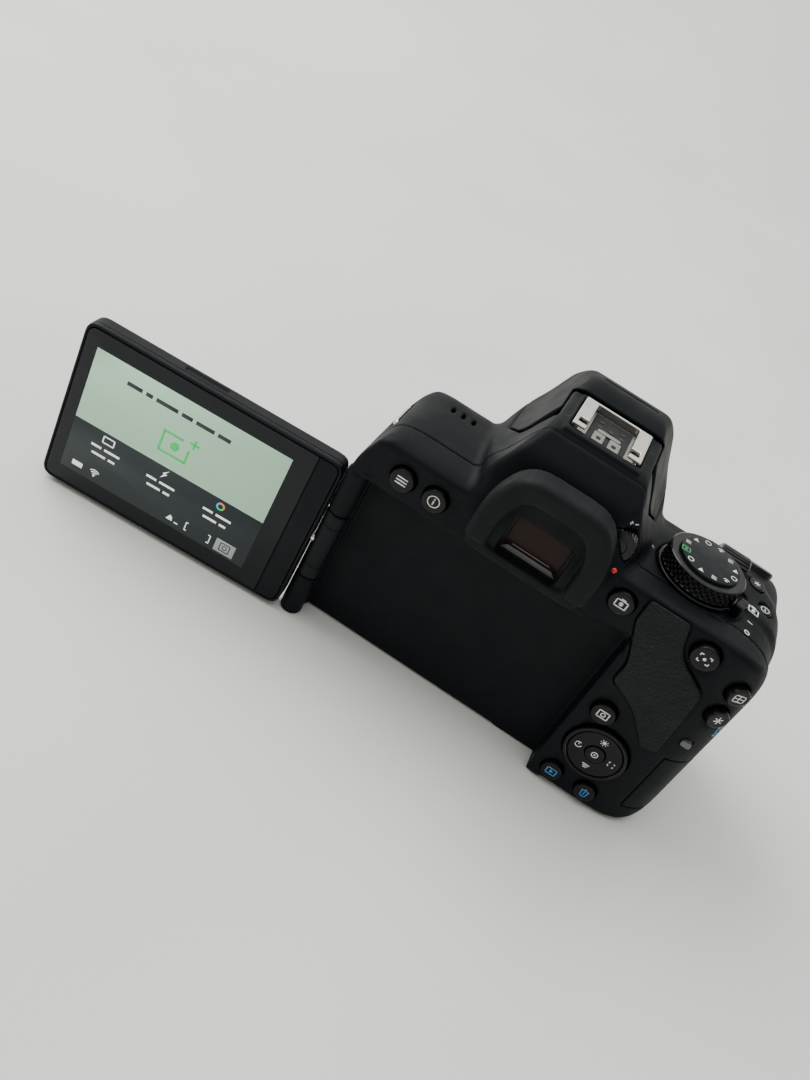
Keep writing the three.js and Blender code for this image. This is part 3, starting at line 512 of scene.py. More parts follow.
# What each carried-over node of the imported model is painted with.
CARRIED = {
    "mirror_box": "hollow", "main_mirror": "mirror_face", "focusing_screen": "optic",
    "pentamirror": "mirror_face", "shutter_unit": "dark_metal", "image_sensor": "optic",
    "main_board": "board", "battery": "cell", "memory_card": "card", "terminal_block": "dark_metal",
    "access_lamp": "lamp_grey", "self_timer_lamp": "lamp_grey", "screen_tilt_shaft": "chrome",
    "flash_window": "flash_lens", "tripod_socket": "chrome",
}

# ---------------------------------------------------------------- outer form

LEFT_HALF = {
    "plan": [(LEFT, REAR, 3.5), (40, REAR), (40, FRONT), (-42, FRONT, 10), (LEFT, 12, 14)],
    "front": [(LEFT, 0, 4), (40, 0), (40, 76.5), (-44, 76, 3), (-51, 73, 6), (LEFT, 60, 10)],
    "side": [(REAR, 0, 1.5), (REAR, 71.5, 1.5), (-17, 74, 3), (0, 76.5, 5), (17, 76, 8), (24, 68, 8),
             (FRONT, 0, 2)],
}
RIGHT_HALF = {
    "plan": [(20, REAR), (61, REAR, 8), (71, -16, 8), (RIGHT, -6, 8), (RIGHT, 12), (52, FRONT), (20, FRONT)],
    "front": [(20, 0), (RIGHT, 0, 13), (RIGHT, 62, 10), (70, 73, 6), (58, SHOULDER, 6), (20, SHOULDER)],
    "side": [(REAR, 0, 1.5), (REAR, SHOULDER, 4), (16, SHOULDER), (FRONT, 75), (FRONT, 0, 2)],
}
GRIP = {
    "plan": [(38, 0), (RIGHT, 0), (RIGHT, 22, 8), (70, 40, 10), (60, GRIP_FRONT, 6), (48, GRIP_FRONT, 10),
             (41, 34, 8)],
    "front": [(38, 0, 2), (RIGHT, 0, 13), (RIGHT, 62, 10), (70, 73, 6), (58, SHOULDER, 6), (38, SHOULDER)],
    "side": [(0, 0), (0, SHOULDER), (16, SHOULDER, 3), (34, 73, 6), (GRIP_FRONT, 62, 8),
             (GRIP_FRONT, 10, 6), (36, 0, 5)],
}
HUMP = {
    "plan": [(-22, REAR, 3), (21, REAR, 3), (30, 10, 8), (24, 36, 8), (12, 42, 6), (-12, 42, 6),
             (-24, 36, 8), (-30, 10, 8)],
    "front": [(-30, 50), (30, 50), (28.5, 76, 4), (22, 83, 5), (17, 94, 5), (12, HEIGHT, 4),
              (-12, HEIGHT, 4), (-17, 94, 5), (-22, 83, 5), (-28.5, 76, 4)],
    "side": [(REAR, 50), (REAR, 70, 2), (-16.5, 90, 3), (-9, 98.3, 3), (15, 98.6, 2), (22, HEIGHT, 4),
             (34, 99.5, 6), (40, 92, 4), (42, 80, 3), (38, 62, 4), (30, 50)],
}


def block(g, views, radius):
    """What a plan, a front view and a side view have in common, with rounded edges."""
    plan = outline_field(views["plan"], g.x, g.y)
    front = outline_field(views["front"], g.x, g.z)
    side = outline_field(views["side"], g.y, g.z)
    return both(both(plan, front, radius), side, radius)


def form(g):
    """Signed distance to the camera's outer form, before openings are cut."""
    body = either(block(g, LEFT_HALF, 1.6), block(g, RIGHT_HALF, 2.2), 2)
    body = either(body, block(g, GRIP, 4), 4)
    barrel = both(rod_field(g.x, g.z, (0, LENS["z"]), LENS["barrel"]), span(g.y, 15, LENS["front"]), 1.5)
    hump = either(block(g, HUMP, 1.7), barrel, 3)
    return either(body, hump, 3)


def corner_axis():
    """Outward direction of the slanted rear right corner."""
    turn = math.radians(CORNER_TURN)
    return math.sin(turn), -math.cos(turn)


def dish(g, centre, outward, width, depth):
    """A shallow round hollow of that width and depth in a surface facing outward."""
    radius = (width ** 2 / 4 + depth ** 2) / (2 * depth)
    centre = np.array(centre) + np.array(outward) * (radius - depth)
    return ball_field(g, centre, radius)

# ---------------------------------------------------------------- covers

REAR_BUTTONS = {
    "menu_button": (-40.8, 64.8, 3.6), "info_button": (-30.3, 64.8, 3.6),
    "live_view_button": (26.8, 69.8, 3.6), "af_start_button": (53.1, 69.4, 3.9),
    "quick_button": (42.4, 35.1, 3.6), "playback_button": (41.6, 6.2, 3.3),
    "erase_button": (53.3, 6.2, 3.3),
}
CORNER_BUTTONS = {
    "focus_point_button": (67.2, -17.8, 63.3, 3.2),
    "exposure_lock_button": (67.2, -17.8, 53.6, 3.2),
}
PROUD, CORNER_PROUD, BUTTON_DEEP = 0.9, 1.5, 3.6
ACCESS_LAMP = (66, 40.5)
THUMB_PAD = [(32.6, 67.9, 1.5), (32.6, 75.5, 1.5), (45, 75.5, 1.5), (47.6, 66, 5), (59.6, 58.5, 2),
             (61, 33.6, 1.5), (56.4, 32.3, 1.5), (47.5, 42.4, 4), (38.1, 46.9, 1.5), (38.6, 54, 3)]
MENU_STRIP = [(-50.5, 59.2, 1.0), (-23.4, 59.2, 0.6), (-23.4, 70.6, 1.2), (-45.5, 69.8, 4), (-50.5, 66.5, 3)]
WELL = [(18, BAY["top"] - 2), (24, 61.5, 3), (BAY["right"], 62.5, 2), (BAY["right"], BAY["top"] - 2)]


def card_region(g, grow):
    zs = (CARD["low"] - grow, CARD["high"] + grow)
    wrap = box_field(g, (60, 90), (-15, CARD["front"] + grow), zs, 0.2)
    return either(box_field(g, (CARD["rear"] - grow, 90), (-40, -6), zs, 0.2), wrap, 0.1)


def button_holes(g):
    """The holes that the rear buttons move in, with a small rounded lip."""
    holes = np.float32(50)
    for x, z, radius in REAR_BUTTONS.values():
        hole = both(rod_field(g.x, g.z, (x, z), radius + 0.35), span(g.y, -40, REAR + 6.5), 0.1)
        holes = np.minimum(holes, hole)
    holes = np.minimum(holes, both(rod_field(g.x, g.z, (PAD["x"], PAD["z"]), PAD["ring"] + 0.35),
                                   span(g.y, -40, REAR + 5.4), 0.1))
    out = corner_axis()
    for x, y, z, radius in CORNER_BUTTONS.values():
        across = (g.x - x) * out[1] - (g.y - y) * out[0]
        away = (g.x - x) * out[0] + (g.y - y) * out[1]
        hole = both(np.hypot(across, g.z - z) - radius - 0.35, span(away, -7, 9), 0.1)
        holes = np.minimum(holes, hole)
    return holes


def rear_dishes(g):
    """Hollows that the thumb finds the buttons by."""
    out = (*corner_axis(), 0)
    hollows = dish(g, (53.4, REAR, 69.4), (0, -1, 0), 14.2, 1.9)
    hollows = either(hollows, dish(g, (41.9, REAR, 35.4), (0, -1, 0), 11.6, 1.1), 0.8)
    for x, y, z, _ in CORNER_BUTTONS.values():
        hollows = either(hollows, dish(g, (x, y, z), out, 10.8, 1.7), 0.5)
    for name in ("playback_button", "erase_button"):
        x, z, _ = REAR_BUTTONS[name]
        hollows = either(hollows, dish(g, (x, REAR, z), (0, -1, 0), 9.4, 0.5), 0.5)
    x, z, _ = REAR_BUTTONS["live_view_button"]
    return either(hollows, dish(g, (x, REAR, z), (0, -1, 0), 9.6, 0.7), 0.5)


def lever_room(g):
    """The round pocket that the power lever turns in, with a wider part for its tip."""
    axis = np.hypot(g.x - MODE["x"], g.y - MODE["y"])
    tip = both(span(g.x, MODE["x"] + 6, 90), span(g.y, MODE["y"] - 14.5, MODE["y"] + 6), 0.1)
    room = np.minimum(axis - LEVER["radius"] - 0.4, both(axis - LEVER["end"] - 0.9, tip, 0.8))
    return both(room, LEVER["low"] - 0.3 - g.z, 0.1)


def bay_room(g):
    """The bay that the closed screen lies in, its stepped rim and the finger well above it."""
    bay = both(outline_field(round_rect((BAY["left"], BAY["right"]), (-10, BAY["top"]), 2.2), g.x, g.z),
               g.y - BAY["floor"], 0.4)
    step = both(outline_field(round_rect((BAY["left"] - 1, BAY["right"] + 1.1), (-10, BAY["top"] + 1.1), 2.6),
                              g.x, g.z), g.y - (REAR + 0.8), 0.3)
    well = both(outline_field(WELL, g.x, g.z), g.y - (REAR + 5), 1.2)
    return either(either(bay, well, 1.0), step, 0.2)


def rear_cover():
    g = Grid((LEFT, REAR - 1, 0), (RIGHT + 1, REAR_SPLIT, 85), 0.45)
    body = both(form(g), g.y - (REAR_SPLIT - SEAM), 0.3)
    middle = both(span(g.x, -EYEPIECE_SIDE, EYEPIECE_SIDE), TOP_SPLIT - g.z, 0.1)
    body = less(body, middle, 0.1)
    body = less(body, rear_dishes(g), 0.7)
    strip = both(outline_field(MENU_STRIP, g.x, g.z), g.y - (REAR + 0.75), 0.1)
    body = less(body, strip, 0.3)
    pad = both(outline_field(grown(THUMB_PAD, 0.42), g.x, g.z), g.y - (REAR + 1), 0.1)
    body = less(body, pad, 0.4)

    body = less(body, bay_room(g), 0.45)
    groove = np.abs(np.hypot(g.x + 60, g.z - 38) - 32.3) - 0.22
    groove = both(both(groove, span(g.z, 24, 52), 0.1), span(g.y, -13, BAY["floor"] + 0.3), 0.1)
    body = less(body, groove, 0.1)

    x, y = HINGE[:2]
    axis = np.hypot(g.x - x, g.y - y)
    neck = both(span(g.x, x - 2.3, x + 2.3), span(g.y, y + 2, 0), 0.1)
    room = both(np.maximum(axis - 6.5, span(g.x, -60, -40)), g.y + 13, 0.1)
    room = less(both(room, span(g.z, -5, BAY["top"]), 0.1), neck, 0.1)
    zs = (SCREEN["low"] - 0.3, SCREEN["high"] + 0.3)
    notch = box_field(g, (-70, BAY["left"] + 1), (-40, y + 4), zs, 0.1)
    body = less(less(body, room, 0.2), notch, 0.2)
    for low, high in ((0.1, zs[0]), (zs[1], BAY["top"])):
        barrel = both(axis - SCREEN["knuckle"], span(g.z, low, high), 0.5)
        arm = both(neck, both(span(g.z, low, high), g.y - (REAR_SPLIT - SEAM), 0.1), 0.2)
        body = np.minimum(body, either(barrel, arm, 0.4))

    body = less(body, button_holes(g), 0.3)
    lever = lever_room(g)
    lamp = outline_field(round_rect((ACCESS_LAMP[0] - 1.8, ACCESS_LAMP[0] + 1.8),
                                    (ACCESS_LAMP[1] - 1.3, ACCESS_LAMP[1] + 1.3), 1), g.x, g.z)
    for cutter in (lever, card_region(g, 0.28), lamp):
        body = less(body, cutter, 0.2)
    field_piece("rear_shell", body, g, M["shell"], "camera_body", ["rear_cover"])

    g = Grid((30, REAR - 1, 30), (63, REAR + 1, 77), 0.3)
    pad = both(outline_field(THUMB_PAD, g.x, g.z), span(g.y, REAR - 0.45, REAR + 0.7), 0.45)
    field_piece("thumb_pad", pad, g, M["leather"], "camera_body", ["thumb_rubber"])


def grown(points, distance):
    """An outline moved outwards from its middle by about distance."""
    middle = np.mean([point[:2] for point in points], 0)
    out = []
    for u, v, *radius in points:
        away = np.array((u, v)) - middle
        u, v = (u, v) + away / np.linalg.norm(away) * distance
        out.append((u, v, *radius))
    return out


def diopter_hollow(g):
    """The concave place beside the eyecup where a finger turns the diopter wheel."""
    return dish(g, (19.6, -15.5, 86.5), (0.62, -0.72, 0.3), 16, 1.5)


def lug_pockets(g):
    """The leaning pockets that the strap lugs stand in."""
    pockets = np.float32(50)
    for (x, y, z), lean in LUGS.values():
        turn = math.radians(lean)
        out = (g.x - x) * math.sin(turn) + (g.z - z) * math.cos(turn)
        through = (g.x - x) * math.cos(turn) - (g.z - z) * math.sin(turn)
        pocket = both(both(span(through, -1.8, 1.8), span(g.y - y, -8, 8), 1.0), -3.4 - out, 0.3)
        pockets = np.minimum(pockets, pocket)
    return pockets


def flash_region(g):
    """The flash head: two arms round the shoe tower and the box in front of it."""
    base = FLASH["base"]
    side = outline_field([(9.7, base), (90, base), (90, 130), (13.3, 130), (13.3, 100, 2), (5.4, 96.5, 1),
                          (2.9, 89), (4, 84)], g.y, g.z)
    arm = rod_field(g.y, g.z, (FLASH["y"], FLASH["z"]), FLASH["arm"])
    region = np.minimum(arm, side)
    tower = both(span(g.x, -FLASH["tower"], FLASH["tower"]), g.y - (FLASH["front"] + 0.3), 0.2)
    sweep = both(span(g.x, -FLASH["tower"], FLASH["tower"]),
                 rod_field(g.y, g.z, (FLASH["y"], FLASH["z"]), FLASH["sweep"]), 0.1)
    return less(region, np.minimum(tower, sweep), 0.3)


def top_cover():
    g = Grid((-58, -22, TOP_SPLIT - 1), (77, 46, 100), 0.45)
    outer = form(g)
    lower = both(REAR_SPLIT + SEAM - g.y, TOP_SPLIT + SEAM - g.z, 0.2)
    side = EYEPIECE_SIDE + OVERLAP
    middle = both(span(g.x, -side, side), TOP_SPLIT - OVERLAP - g.z, 0.1)
    middle = both(middle, g.y - REAR_SPLIT, 0.1)
    body = both(outer, either(lower, middle, 0.1), 0.35)
    body = less(less(body, rear_dishes(g), 0.7), bay_room(g), 0.45)
    body = less(body, button_holes(g), 0.3)

    arm = rod_field(g.y, g.z, (FLASH["y"], FLASH["z"]), FLASH["arm"] + 0.3)
    base = FLASH["base"] - 0.3
    room = outline_field([(9.6, base), (90, base), (90, 130), (-1.4, 130), (-1.4, 89), (0.4, 85.3),
                          (3.3, 83.6)], g.y, g.z)
    side = FLASH["tower"] - 0.3
    tower = box_field(g, (-side, side), (-60, FLASH["front"]), (60, 98.3), 1.2)
    head_room = less(np.minimum(arm, room), tower, 0.2)
    body = less(body, head_room, 0.3)

    rim = box_field(g, (-11.9, 11.4), (-8.8, 15.6), (95, 98.9), 0.6)
    body = either(body, rim, 0.7)
    shoe = box_field(g, (-SHOE["half"] - 0.4, SHOE["half"] + 0.4), (SHOE["rear"] - 0.4, SHOE["front"] + 0.4),
                     (SHOE["seat"], 120), 0.2)
    eyepiece = both(outline_field(round_rect((-10.9, 10.9), (62.5, 77.9), 1.5), g.x, g.z), g.y + 3, 0.1)
    diopter = both(rod_field(g.x, g.z, (16.8, 81.5), 5.5), span(g.y, -17.3, -12.7), 0.1)
    lever = lever_room(g)
    dial_room = box_field(g, (46.1, 56.7), (14.1, 28.9), (60, 90), 0.4)
    throat = both(rod_field(g.x, g.z, (0, LENS["z"]), LENS["throat"] + 2.2), span(g.y, 10, 60), 0.1)
    seat = both(rod_field(g.x, g.z, (0, LENS["z"]), LENS["ring"] + 0.3), LENS["flange"] - 2.9 - g.y, 0.1)
    body = less(body, diopter_hollow(g), 0.8)
    body = less(body, lug_pockets(g), 0.45)
    for cutter in (shoe, eyepiece, diopter, lever, dial_room, throat, seat, shutter_well(g)):
        body = less(body, cutter, 0.25)
    for x, y, radius in TOP_BUTTONS.values():
        body = less(body, both(rod_field(g.x, g.y, (x, y), radius + 0.35), 68 - g.z, 0.1), 0.3)
    for x in (-41, -37.5, -34):
        slot = outline_field(round_rect((x - 0.55, x + 0.55), (7.4, 10.6), 0.5), g.x, g.y)
        body = less(body, np.maximum(slot, 73 - g.z), 0.1)
    field_piece("top_shell", body, g, M["shell"], "camera_body", ["top_cover"])


SHUTTER = {"place": (61, 34, 70.9), "radius": 5.8, "lean": 25}
TOP_BUTTONS = {"iso_button": (60.3, 17, 2.6), "display_button": (64.6, 8.6, 2.2)}


def shutter_axis():
    lean = math.radians(SHUTTER["lean"])
    return np.array((0, math.sin(lean), math.cos(lean)))


def shutter_well(g):
    axis, place = shutter_axis(), SHUTTER["place"]
    along = (g.y - place[1]) * axis[1] + (g.z - place[2]) * axis[2]
    across = (g.y - place[1]) * axis[2] - (g.z - place[2]) * axis[1]
    return both(np.hypot(g.x - place[0], across) - SHUTTER["radius"] - 0.4, span(along, -8, 20), 0.1)


def flash_head():
    g = Grid((-31, -6, 78), (31, 44, 103), 0.4)
    outer = form(g)
    head = both(outer, flash_region(g), 0.35)
    window = outline_field(round_rect((-15.3, 15.3), (83.2, 92.8), 1.5), g.x, g.z)
    head = less(head, np.maximum(window, 34.5 - g.y), 0.3)
    head = less(head, box_field(g, (-11, 11), (20, 31), (70, 97), 0.5), 0.3)
    crease = both(span(g.x, -9, 9), span(g.z, 100.2, 110), 0.3)
    head = less(head, both(crease, span(g.y, 26, 27), 0.2), 0.2)
    field_piece("flash_shell", head, g, M["shell"], "flash", ["flash_head"])


def band(g, grow):
    """The part of the front and grip that the rubber skin covers."""
    whole = box_field(g, (44.5 - grow, 90), (3 - grow, 90), (6 - grow, TOP_SPLIT - 0.6 + grow), 0.8)
    return less(whole, card_region(g, 0.8 - grow), 0.2)


TERMINAL = {"rear": -7.5, "front": 10.5, "pivot": -55.2}
TERMINAL_DOORS = {"terminal_cover_upper": (36, 57), "terminal_cover_lower": (12.5, 33.5)}
RELEASE = {"x": -42.4, "z": 33, "radius": 5}
TIMER_LAMP = (40.2, 52, 2)
LOCK_PIN = (-29.7, 1.7)


def door_box(g, zs, grow):
    ys = (TERMINAL["rear"] - grow, TERMINAL["front"] + grow)
    return box_field(g, (-70, -54), ys, (zs[0] - grow, zs[1] + grow), 0.6)


def front_cover():
    g = Grid((-58, REAR_SPLIT, BASE), (77, 45.5, TOP_SPLIT + 0.5), 0.5)
    outer = form(g)
    skin = less(outer, both(band(g, 0.25), -(outer + SKIN + 0.25), 0.1), 0.25)
    body = less(skin, outer + WALL, 0.2)
    body = both(body, REAR_SPLIT + SEAM - g.y, 0.3)
    body = both(body, span(g.z, BASE + SEAM, TOP_SPLIT - SEAM), 0.3)
    throat = both(rod_field(g.x, g.z, (0, LENS["z"]), LENS["throat"] + 2.2), span(g.y, 10, 60), 0.1)
    seat = both(rod_field(g.x, g.z, (0, LENS["z"]), LENS["ring"] + 0.3), LENS["flange"] - 2.9 - g.y, 0.1)
    pin = both(rod_field(g.x, g.z, (LOCK_PIN[0], LENS["z"]), LOCK_PIN[1] + 1.6), span(g.y, 30, 60), 0.1)
    release = both(rod_field(g.x, g.z, (RELEASE["x"], RELEASE["z"]), RELEASE["radius"] + 0.35), 5 - g.y, 0.1)
    lamp = both(rod_field(g.x, g.z, TIMER_LAMP[:2], TIMER_LAMP[2] + 0.3), 15 - g.y, 0.1)
    cutters = [throat, seat, pin, release, lamp, card_region(g, 0.28)]
    cutters.append(both(rod_field(g.x, g.y, (RIGHT - 1.4, CARD["front"]), 2.2),
                        span(g.z, CARD["low"] - 0.3, CARD["high"] + 0.3), 0.1))
    for zs in TERMINAL_DOORS.values():
        cutters.append(door_box(g, zs, 0.25))
        cutters.append(both(rod_field(g.x, g.y, (TERMINAL["pivot"], TERMINAL["front"] - 0.3), 2),
                            span(g.z, zs[0] - 0.3, zs[1] + 0.3), 0.1))
    for cutter in cutters:
        body = less(body, cutter, 0.25)
    field_piece("front_shell", body, g, M["shell"], "camera_body", ["front_cover"])

    g = Grid((43, 2, 5), (77, 46, TOP_SPLIT), 0.45)
    outer = form(g)
    rubber = both(both(outer, -(outer + SKIN), 0.15), band(g, 0), 0.35)
    field_piece("grip_skin", rubber, g, M["leather"], "camera_body", ["grip_rubber"])


def side_doors():
    for name, zs in TERMINAL_DOORS.items():
        g = Grid((-58, -9, zs[0] - 1), (-53, 12, zs[1] + 1), 0.25)
        outer = form(g)
        door = both(both(outer, -(outer + 1.6), 0.1), door_box(g, zs, 0), 0.4)
        middle = sum(zs) / 2
        grip = box_field(g, (-60, -56.0), (5.5, 8.6), (middle - 5, middle + 5), 0.3)
        grip = both(grip, -(outer + 0.5), 0.1)
        door = less(door, grip, 0.2)
        field_piece(name + "_skin", door, g, M["soft_rubber"], name, [name])
    g = Grid((60, -21, 7), (77, 13, 33), 0.3)
    outer = form(g)
    door = both(both(outer, -(outer + 1.6), 0.1), card_region(g, 0), 0.3)
    door = less(door, box_field(g, (50, 72), (-6, 20), (0, 50), 0.1), 0.1)
    ridges = np.float32(50)
    for y in (0.5, 2.0, 3.5):
        ridges = np.minimum(ridges, box_field(g, (70, 80), (y - 0.3, y + 0.3), (15, 25), 0.1))
    door = less(door, both(ridges, -(outer + 0.35), 0.1), 0.15)
    field_piece("card_door_skin", door, g, M["shell"], "card_door", ["card_door"])


BATTERY_DOOR = {"x": (46, 70), "y": (0, 37)}
TRIPOD = {"y": 14, "radius": 6.5, "hole": 3.2, "high": 11}


def base_cover():
    g = Grid((-58, REAR_SPLIT, -0.2), (77, 45, BASE + 0.2), 0.45)
    body = both(form(g), REAR_SPLIT + SEAM - g.y, 0.3)
    body = both(body, g.z - (BASE - SEAM), 0.1)
    (x0, x1), (y0, y1) = BATTERY_DOOR["x"], BATTERY_DOOR["y"]
    door = outline_field(round_rect((x0 - 0.3, x1 + 0.3), (y0 - 0.3, y1 + 0.3), 3), g.x, g.y)
    cutters = [door, both(rod_field(g.x, g.z, (x0, BASE / 2), 2.2), span(g.y, -1, 40), 0.1),
               rod_field(g.x, g.y, (0, TRIPOD["y"]), TRIPOD["radius"] + 0.3), card_region(g, 0.28)]
    for x, y, radius in ((-46, 18, 2.2), (36, -2, 1.6), (-20, -2, 1.6)):
        cutters.append(np.maximum(rod_field(g.x, g.y, (x, y), radius), g.z - 0.8))
    ring = np.abs(rod_field(g.x, g.y, (0, TRIPOD["y"]), 13)) - 0.35
    cutters.append(np.maximum(ring, g.z - 0.5))
    for cutter in cutters:
        body = less(body, cutter, 0.2)
    field_piece("base_shell", body, g, M["shell"], "camera_body", ["bottom_cover"])

    door = Sheet()
    door.rounded(corner_path(round_rect((x0, x1), (y0, y1), 3)), 0.2, BASE, 0.5)
    door.make("battery_lid", Matrix(), M["shell_smooth"], "battery_door", ["battery_door"])
    marks = Sheet()
    for i in range(5):
        marks.bar((66.5, 14 + 2.2 * i), (68.5, 14 + 2.2 * i), 0.7, 0.05, 0.4)
    marks.make("battery_lid_grip", Matrix(), M["shell_smooth"], "battery_door")


EYECUP = {"rear": -31.5, "front": REAR - 0.3, "low": 60.6, "high": 93}
EYECUP_OUTER = [(-18.6, 60.6, 4), (18, 60.6, 4), (18.6, 80, 7), (12.6, 93, 9), (-13.2, 93, 9), (-19.2, 80, 7)]
EYECUP_INNER = [(-12.4, 64.2, 2), (12, 64.2, 2), (12, 79, 4), (8.5, 86.5, 5), (-9, 86.5, 5), (-12.4, 79, 4)]


def eyecup():
    g = Grid((-20, -32, 60), (20, -20, 94), 0.35)
    body = both(outline_field(EYECUP_OUTER, g.x, g.z), span(g.y, EYECUP["rear"], EYECUP["front"]), 2.2)
    opening = both(outline_field(EYECUP_INNER, g.x, g.z), g.y + 23.5, 0.6)
    tunnel = outline_field(round_rect((-9.6, 9.2), (63.8, 77), 1.5), g.x, g.z)
    hood = outline_field([(-34, 40), (-24.5, 40), (-24.5, 66.2, 2), (-34, 68.4)], g.y, g.z)
    body = less(body, opening, 1.4)
    body = less(body, hood, 1.2)
    body = less(body, tunnel, 0.4)
    body = less(body, box_field(g, (-30, 30), (-22.4, -10), (83, 100), 0.2), 0.3)
    fold = both(np.abs(outline_field(EYECUP_OUTER, g.x, g.z)) - 0.45, span(g.y, -23.2, -22.5), 0.2)
    body = less(body, fold, 0.3)
    field_piece("eyecup_rubber", body, g, M["soft_rubber"], "eyecup", ["eyecup"])

# ---------------------------------------------------------------- marks on the controls


def frame_bars(width, height, line, centre=(0, 0)):
    """The four strokes of a rectangle."""
    signs = [(-1, -1), (1, -1), (1, 1), (-1, 1)]
    corners = [(centre[0] + u * width / 2, centre[1] + v * height / 2) for u, v in signs]
    return [("bar", a, b, line) for a, b in zip(corners, corners[1:] + corners[:1])]


def star_bars(reach, line):
    turns = [math.pi / 6 + math.pi * k / 3 for k in range(3)]
    ends = [(reach * math.cos(turn), reach * math.sin(turn)) for turn in turns]
    return [("bar", (-u, -v), (u, v), line) for u, v in ends]


def target_bars(line):
    return [("bar", (u * a, v * b), (u * c, v * 1.3), line) for u in (-1, 1) for v in (-1, 1)
            for a, b, c in ((1.7, 0.6, 1.7), (1.85, 1.3, 0.9))]


# Each mark is a list of strokes, drawn by Sheet.draw, with u to the right and v upwards.
MARKS = {
    "menu": [("bar", (-1.7, v), (1.7, v), 0.4) for v in (-1, 0, 1)],
    "info": [("arc", (0, 0), 1.75, 0.3), ("bar", (0, -1), (0, 0.3), 0.4), ("disc", (0, 0.85), 0.25)],
    "monitor": frame_bars(3.3, 2.3, 0.38) + [("disc", (0, 0), 0.62), ("bar", (-0.7, 1.5), (0.7, 1.5), 0.5)],
    "target": target_bars(0.35) + [("disc", (0, 0), 0.5)],
    "grid": frame_bars(3.2, 2.4, 0.3) + [("bar", (0, -1.2), (0, 1.2), 0.25),
                                         ("bar", (-1.6, 0), (1.6, 0), 0.25)],
    "star": star_bars(1.4, 0.35),
    "quick": frame_bars(3.3, 2.5, 0.35) + [("arc", (0, 0), 0.65, 0.3)],
    "play": frame_bars(3.1, 2.3, 0.35) + [("prism", [(-0.5, -0.7), (0.75, 0), (-0.5, 0.7)])],
    "bin": [("bar", a, b, 0.32) for a, b in (
        ((-1.1, 0.9), (-0.8, -1.4)), ((-0.8, -1.4), (0.8, -1.4)), ((0.8, -1.4), (1.1, 0.9)),
        ((-1.4, 1.0), (1.4, 1.0)), ((-0.4, 1.5), (0.4, 1.5)), ((0, 0.6), (0, -1.0)))],
    "lens": [("arc", (0, 0.4), 0.85, 0.3), ("bar", (0.6, -0.3), (1.3, -1.1), 0.35),
             ("bar", (-0.4, 0.4), (0.4, 0.4), 0.22)],
    "lens_over_grid": [("arc", (0, -1.5), 0.75, 0.3), ("bar", (0.5, -2.1), (1.1, -2.8), 0.35)] + [
        ("bar", (u - 0.45, v), (u + 0.45, v), 0.7) for u in (-0.8, 0.8) for v in (0.5, 1.7)],
    "dot": [("disc", (0, 0), 0.75)],
    "on": [("bar", (-0.9, 0), (0.9, 0), 0.35)],
    "off": [("arc", (0, 0), 0.75, 0.32)],
    "sensor_plane": [("bar", (-1.3, 0), (1.3, 0), 0.22), ("arc", (0, 0), 0.6, 0.22)],
    "index": [("bar", (-0.9, 0), (0.9, 0), 0.45)],
    "plus_minus": [("bar", (-1.6, 0.4), (-0.4, 0.4), 0.3), ("bar", (-1.0, -0.2), (-1.0, 1.0), 0.3),
                   ("bar", (0.5, 0.1), (1.7, 0.1), 0.3)],
    "set": [("arc", (0, 0), 0.95, 0.3), ("disc", (0, 0), 0.3)],
}
BUTTON_MARKS = {
    "menu_button": ("menu", "white"), "info_button": ("info", "white"),
    "live_view_button": ("monitor", "white"), "af_start_button": ("target", "white"),
    "quick_button": ("quick", "white"), "playback_button": ("play", "blue"),
    "erase_button": ("bin", "blue"), "focus_point_button": ("grid", "white"),
    "exposure_lock_button": ("star", "white"),
}
INK = 0.035            # how far a printed mark stands out


def cap(s, radius, low, high, dip=0.1, segments=72, edge=0.4):
    """A round button with a rounded rim and a slightly hollow top."""
    profile = [(0, low), (radius, low), (radius, high - edge), (radius - 0.3 * edge, high - 0.3 * edge),
               (radius - edge, high), (radius * 0.75, high - 0.01), (radius * 0.4, high - 0.6 * dip),
               (0, high - dip)]
    s.lathe(profile, segments)


def mark(name, strokes, place, low, colour, body):
    """Strokes printed on a surface that lies low above the plane of its frame."""
    s = Sheet()
    s.draw(strokes, low - 0.12, low + INK)
    s.make(name, place, M[colour], body, smooth=0)


def buttons():
    out = corner_axis()
    places = {name: (basis((x, REAR, z), (1, 0, 0), (0, 0, 1)), radius, PROUD)
              for name, (x, z, radius) in REAR_BUTTONS.items()}
    for name, (x, y, z, radius) in CORNER_BUTTONS.items():
        places[name] = basis((x, y, z), (-out[1], out[0], 0), (0, 0, 1)), radius, CORNER_PROUD
    for name, (place, radius, proud) in places.items():
        s = Sheet()
        cap(s, radius, -BUTTON_DEEP, proud, 0.08)
        s.make(name + "_cap", place, M["button"], name, [name])
        icon, colour = BUTTON_MARKS[name]
        mark(name + "_mark", MARKS[icon], place, proud - 0.06, colour, name)


def pad_strokes():
    """A timer on the left key, a sun above, a target on the right and a stack below."""
    reach = 5.6
    strokes = [("arc", (-reach, 0), 1.0, 0.28, 60, 300), ("bar", (-reach, 0), (-reach, 0.9), 0.25),
               ("disc", (0, reach), 0.6)]
    for k in range(8):
        u, v = math.cos(math.pi * k / 4), math.sin(math.pi * k / 4)
        strokes.append(("bar", (0.85 * u, reach + 0.85 * v), (1.25 * u, reach + 1.25 * v), 0.22))
    for side in (-1, 1):
        for v in (0.8, -0.8):
            corner = (reach + 0.9 * side, v)
            strokes.append(("bar", corner, (corner[0] - 0.4 * side, v), 0.25))
            strokes.append(("bar", corner, (corner[0], v - math.copysign(0.5, v)), 0.25))
    for k in range(3):
        v = -5.0 - 0.6 * k
        strokes.append(("bar", (-1.2 + 0.3 * k, v), (1.2 - 0.3 * k, v), 0.28))
    return strokes


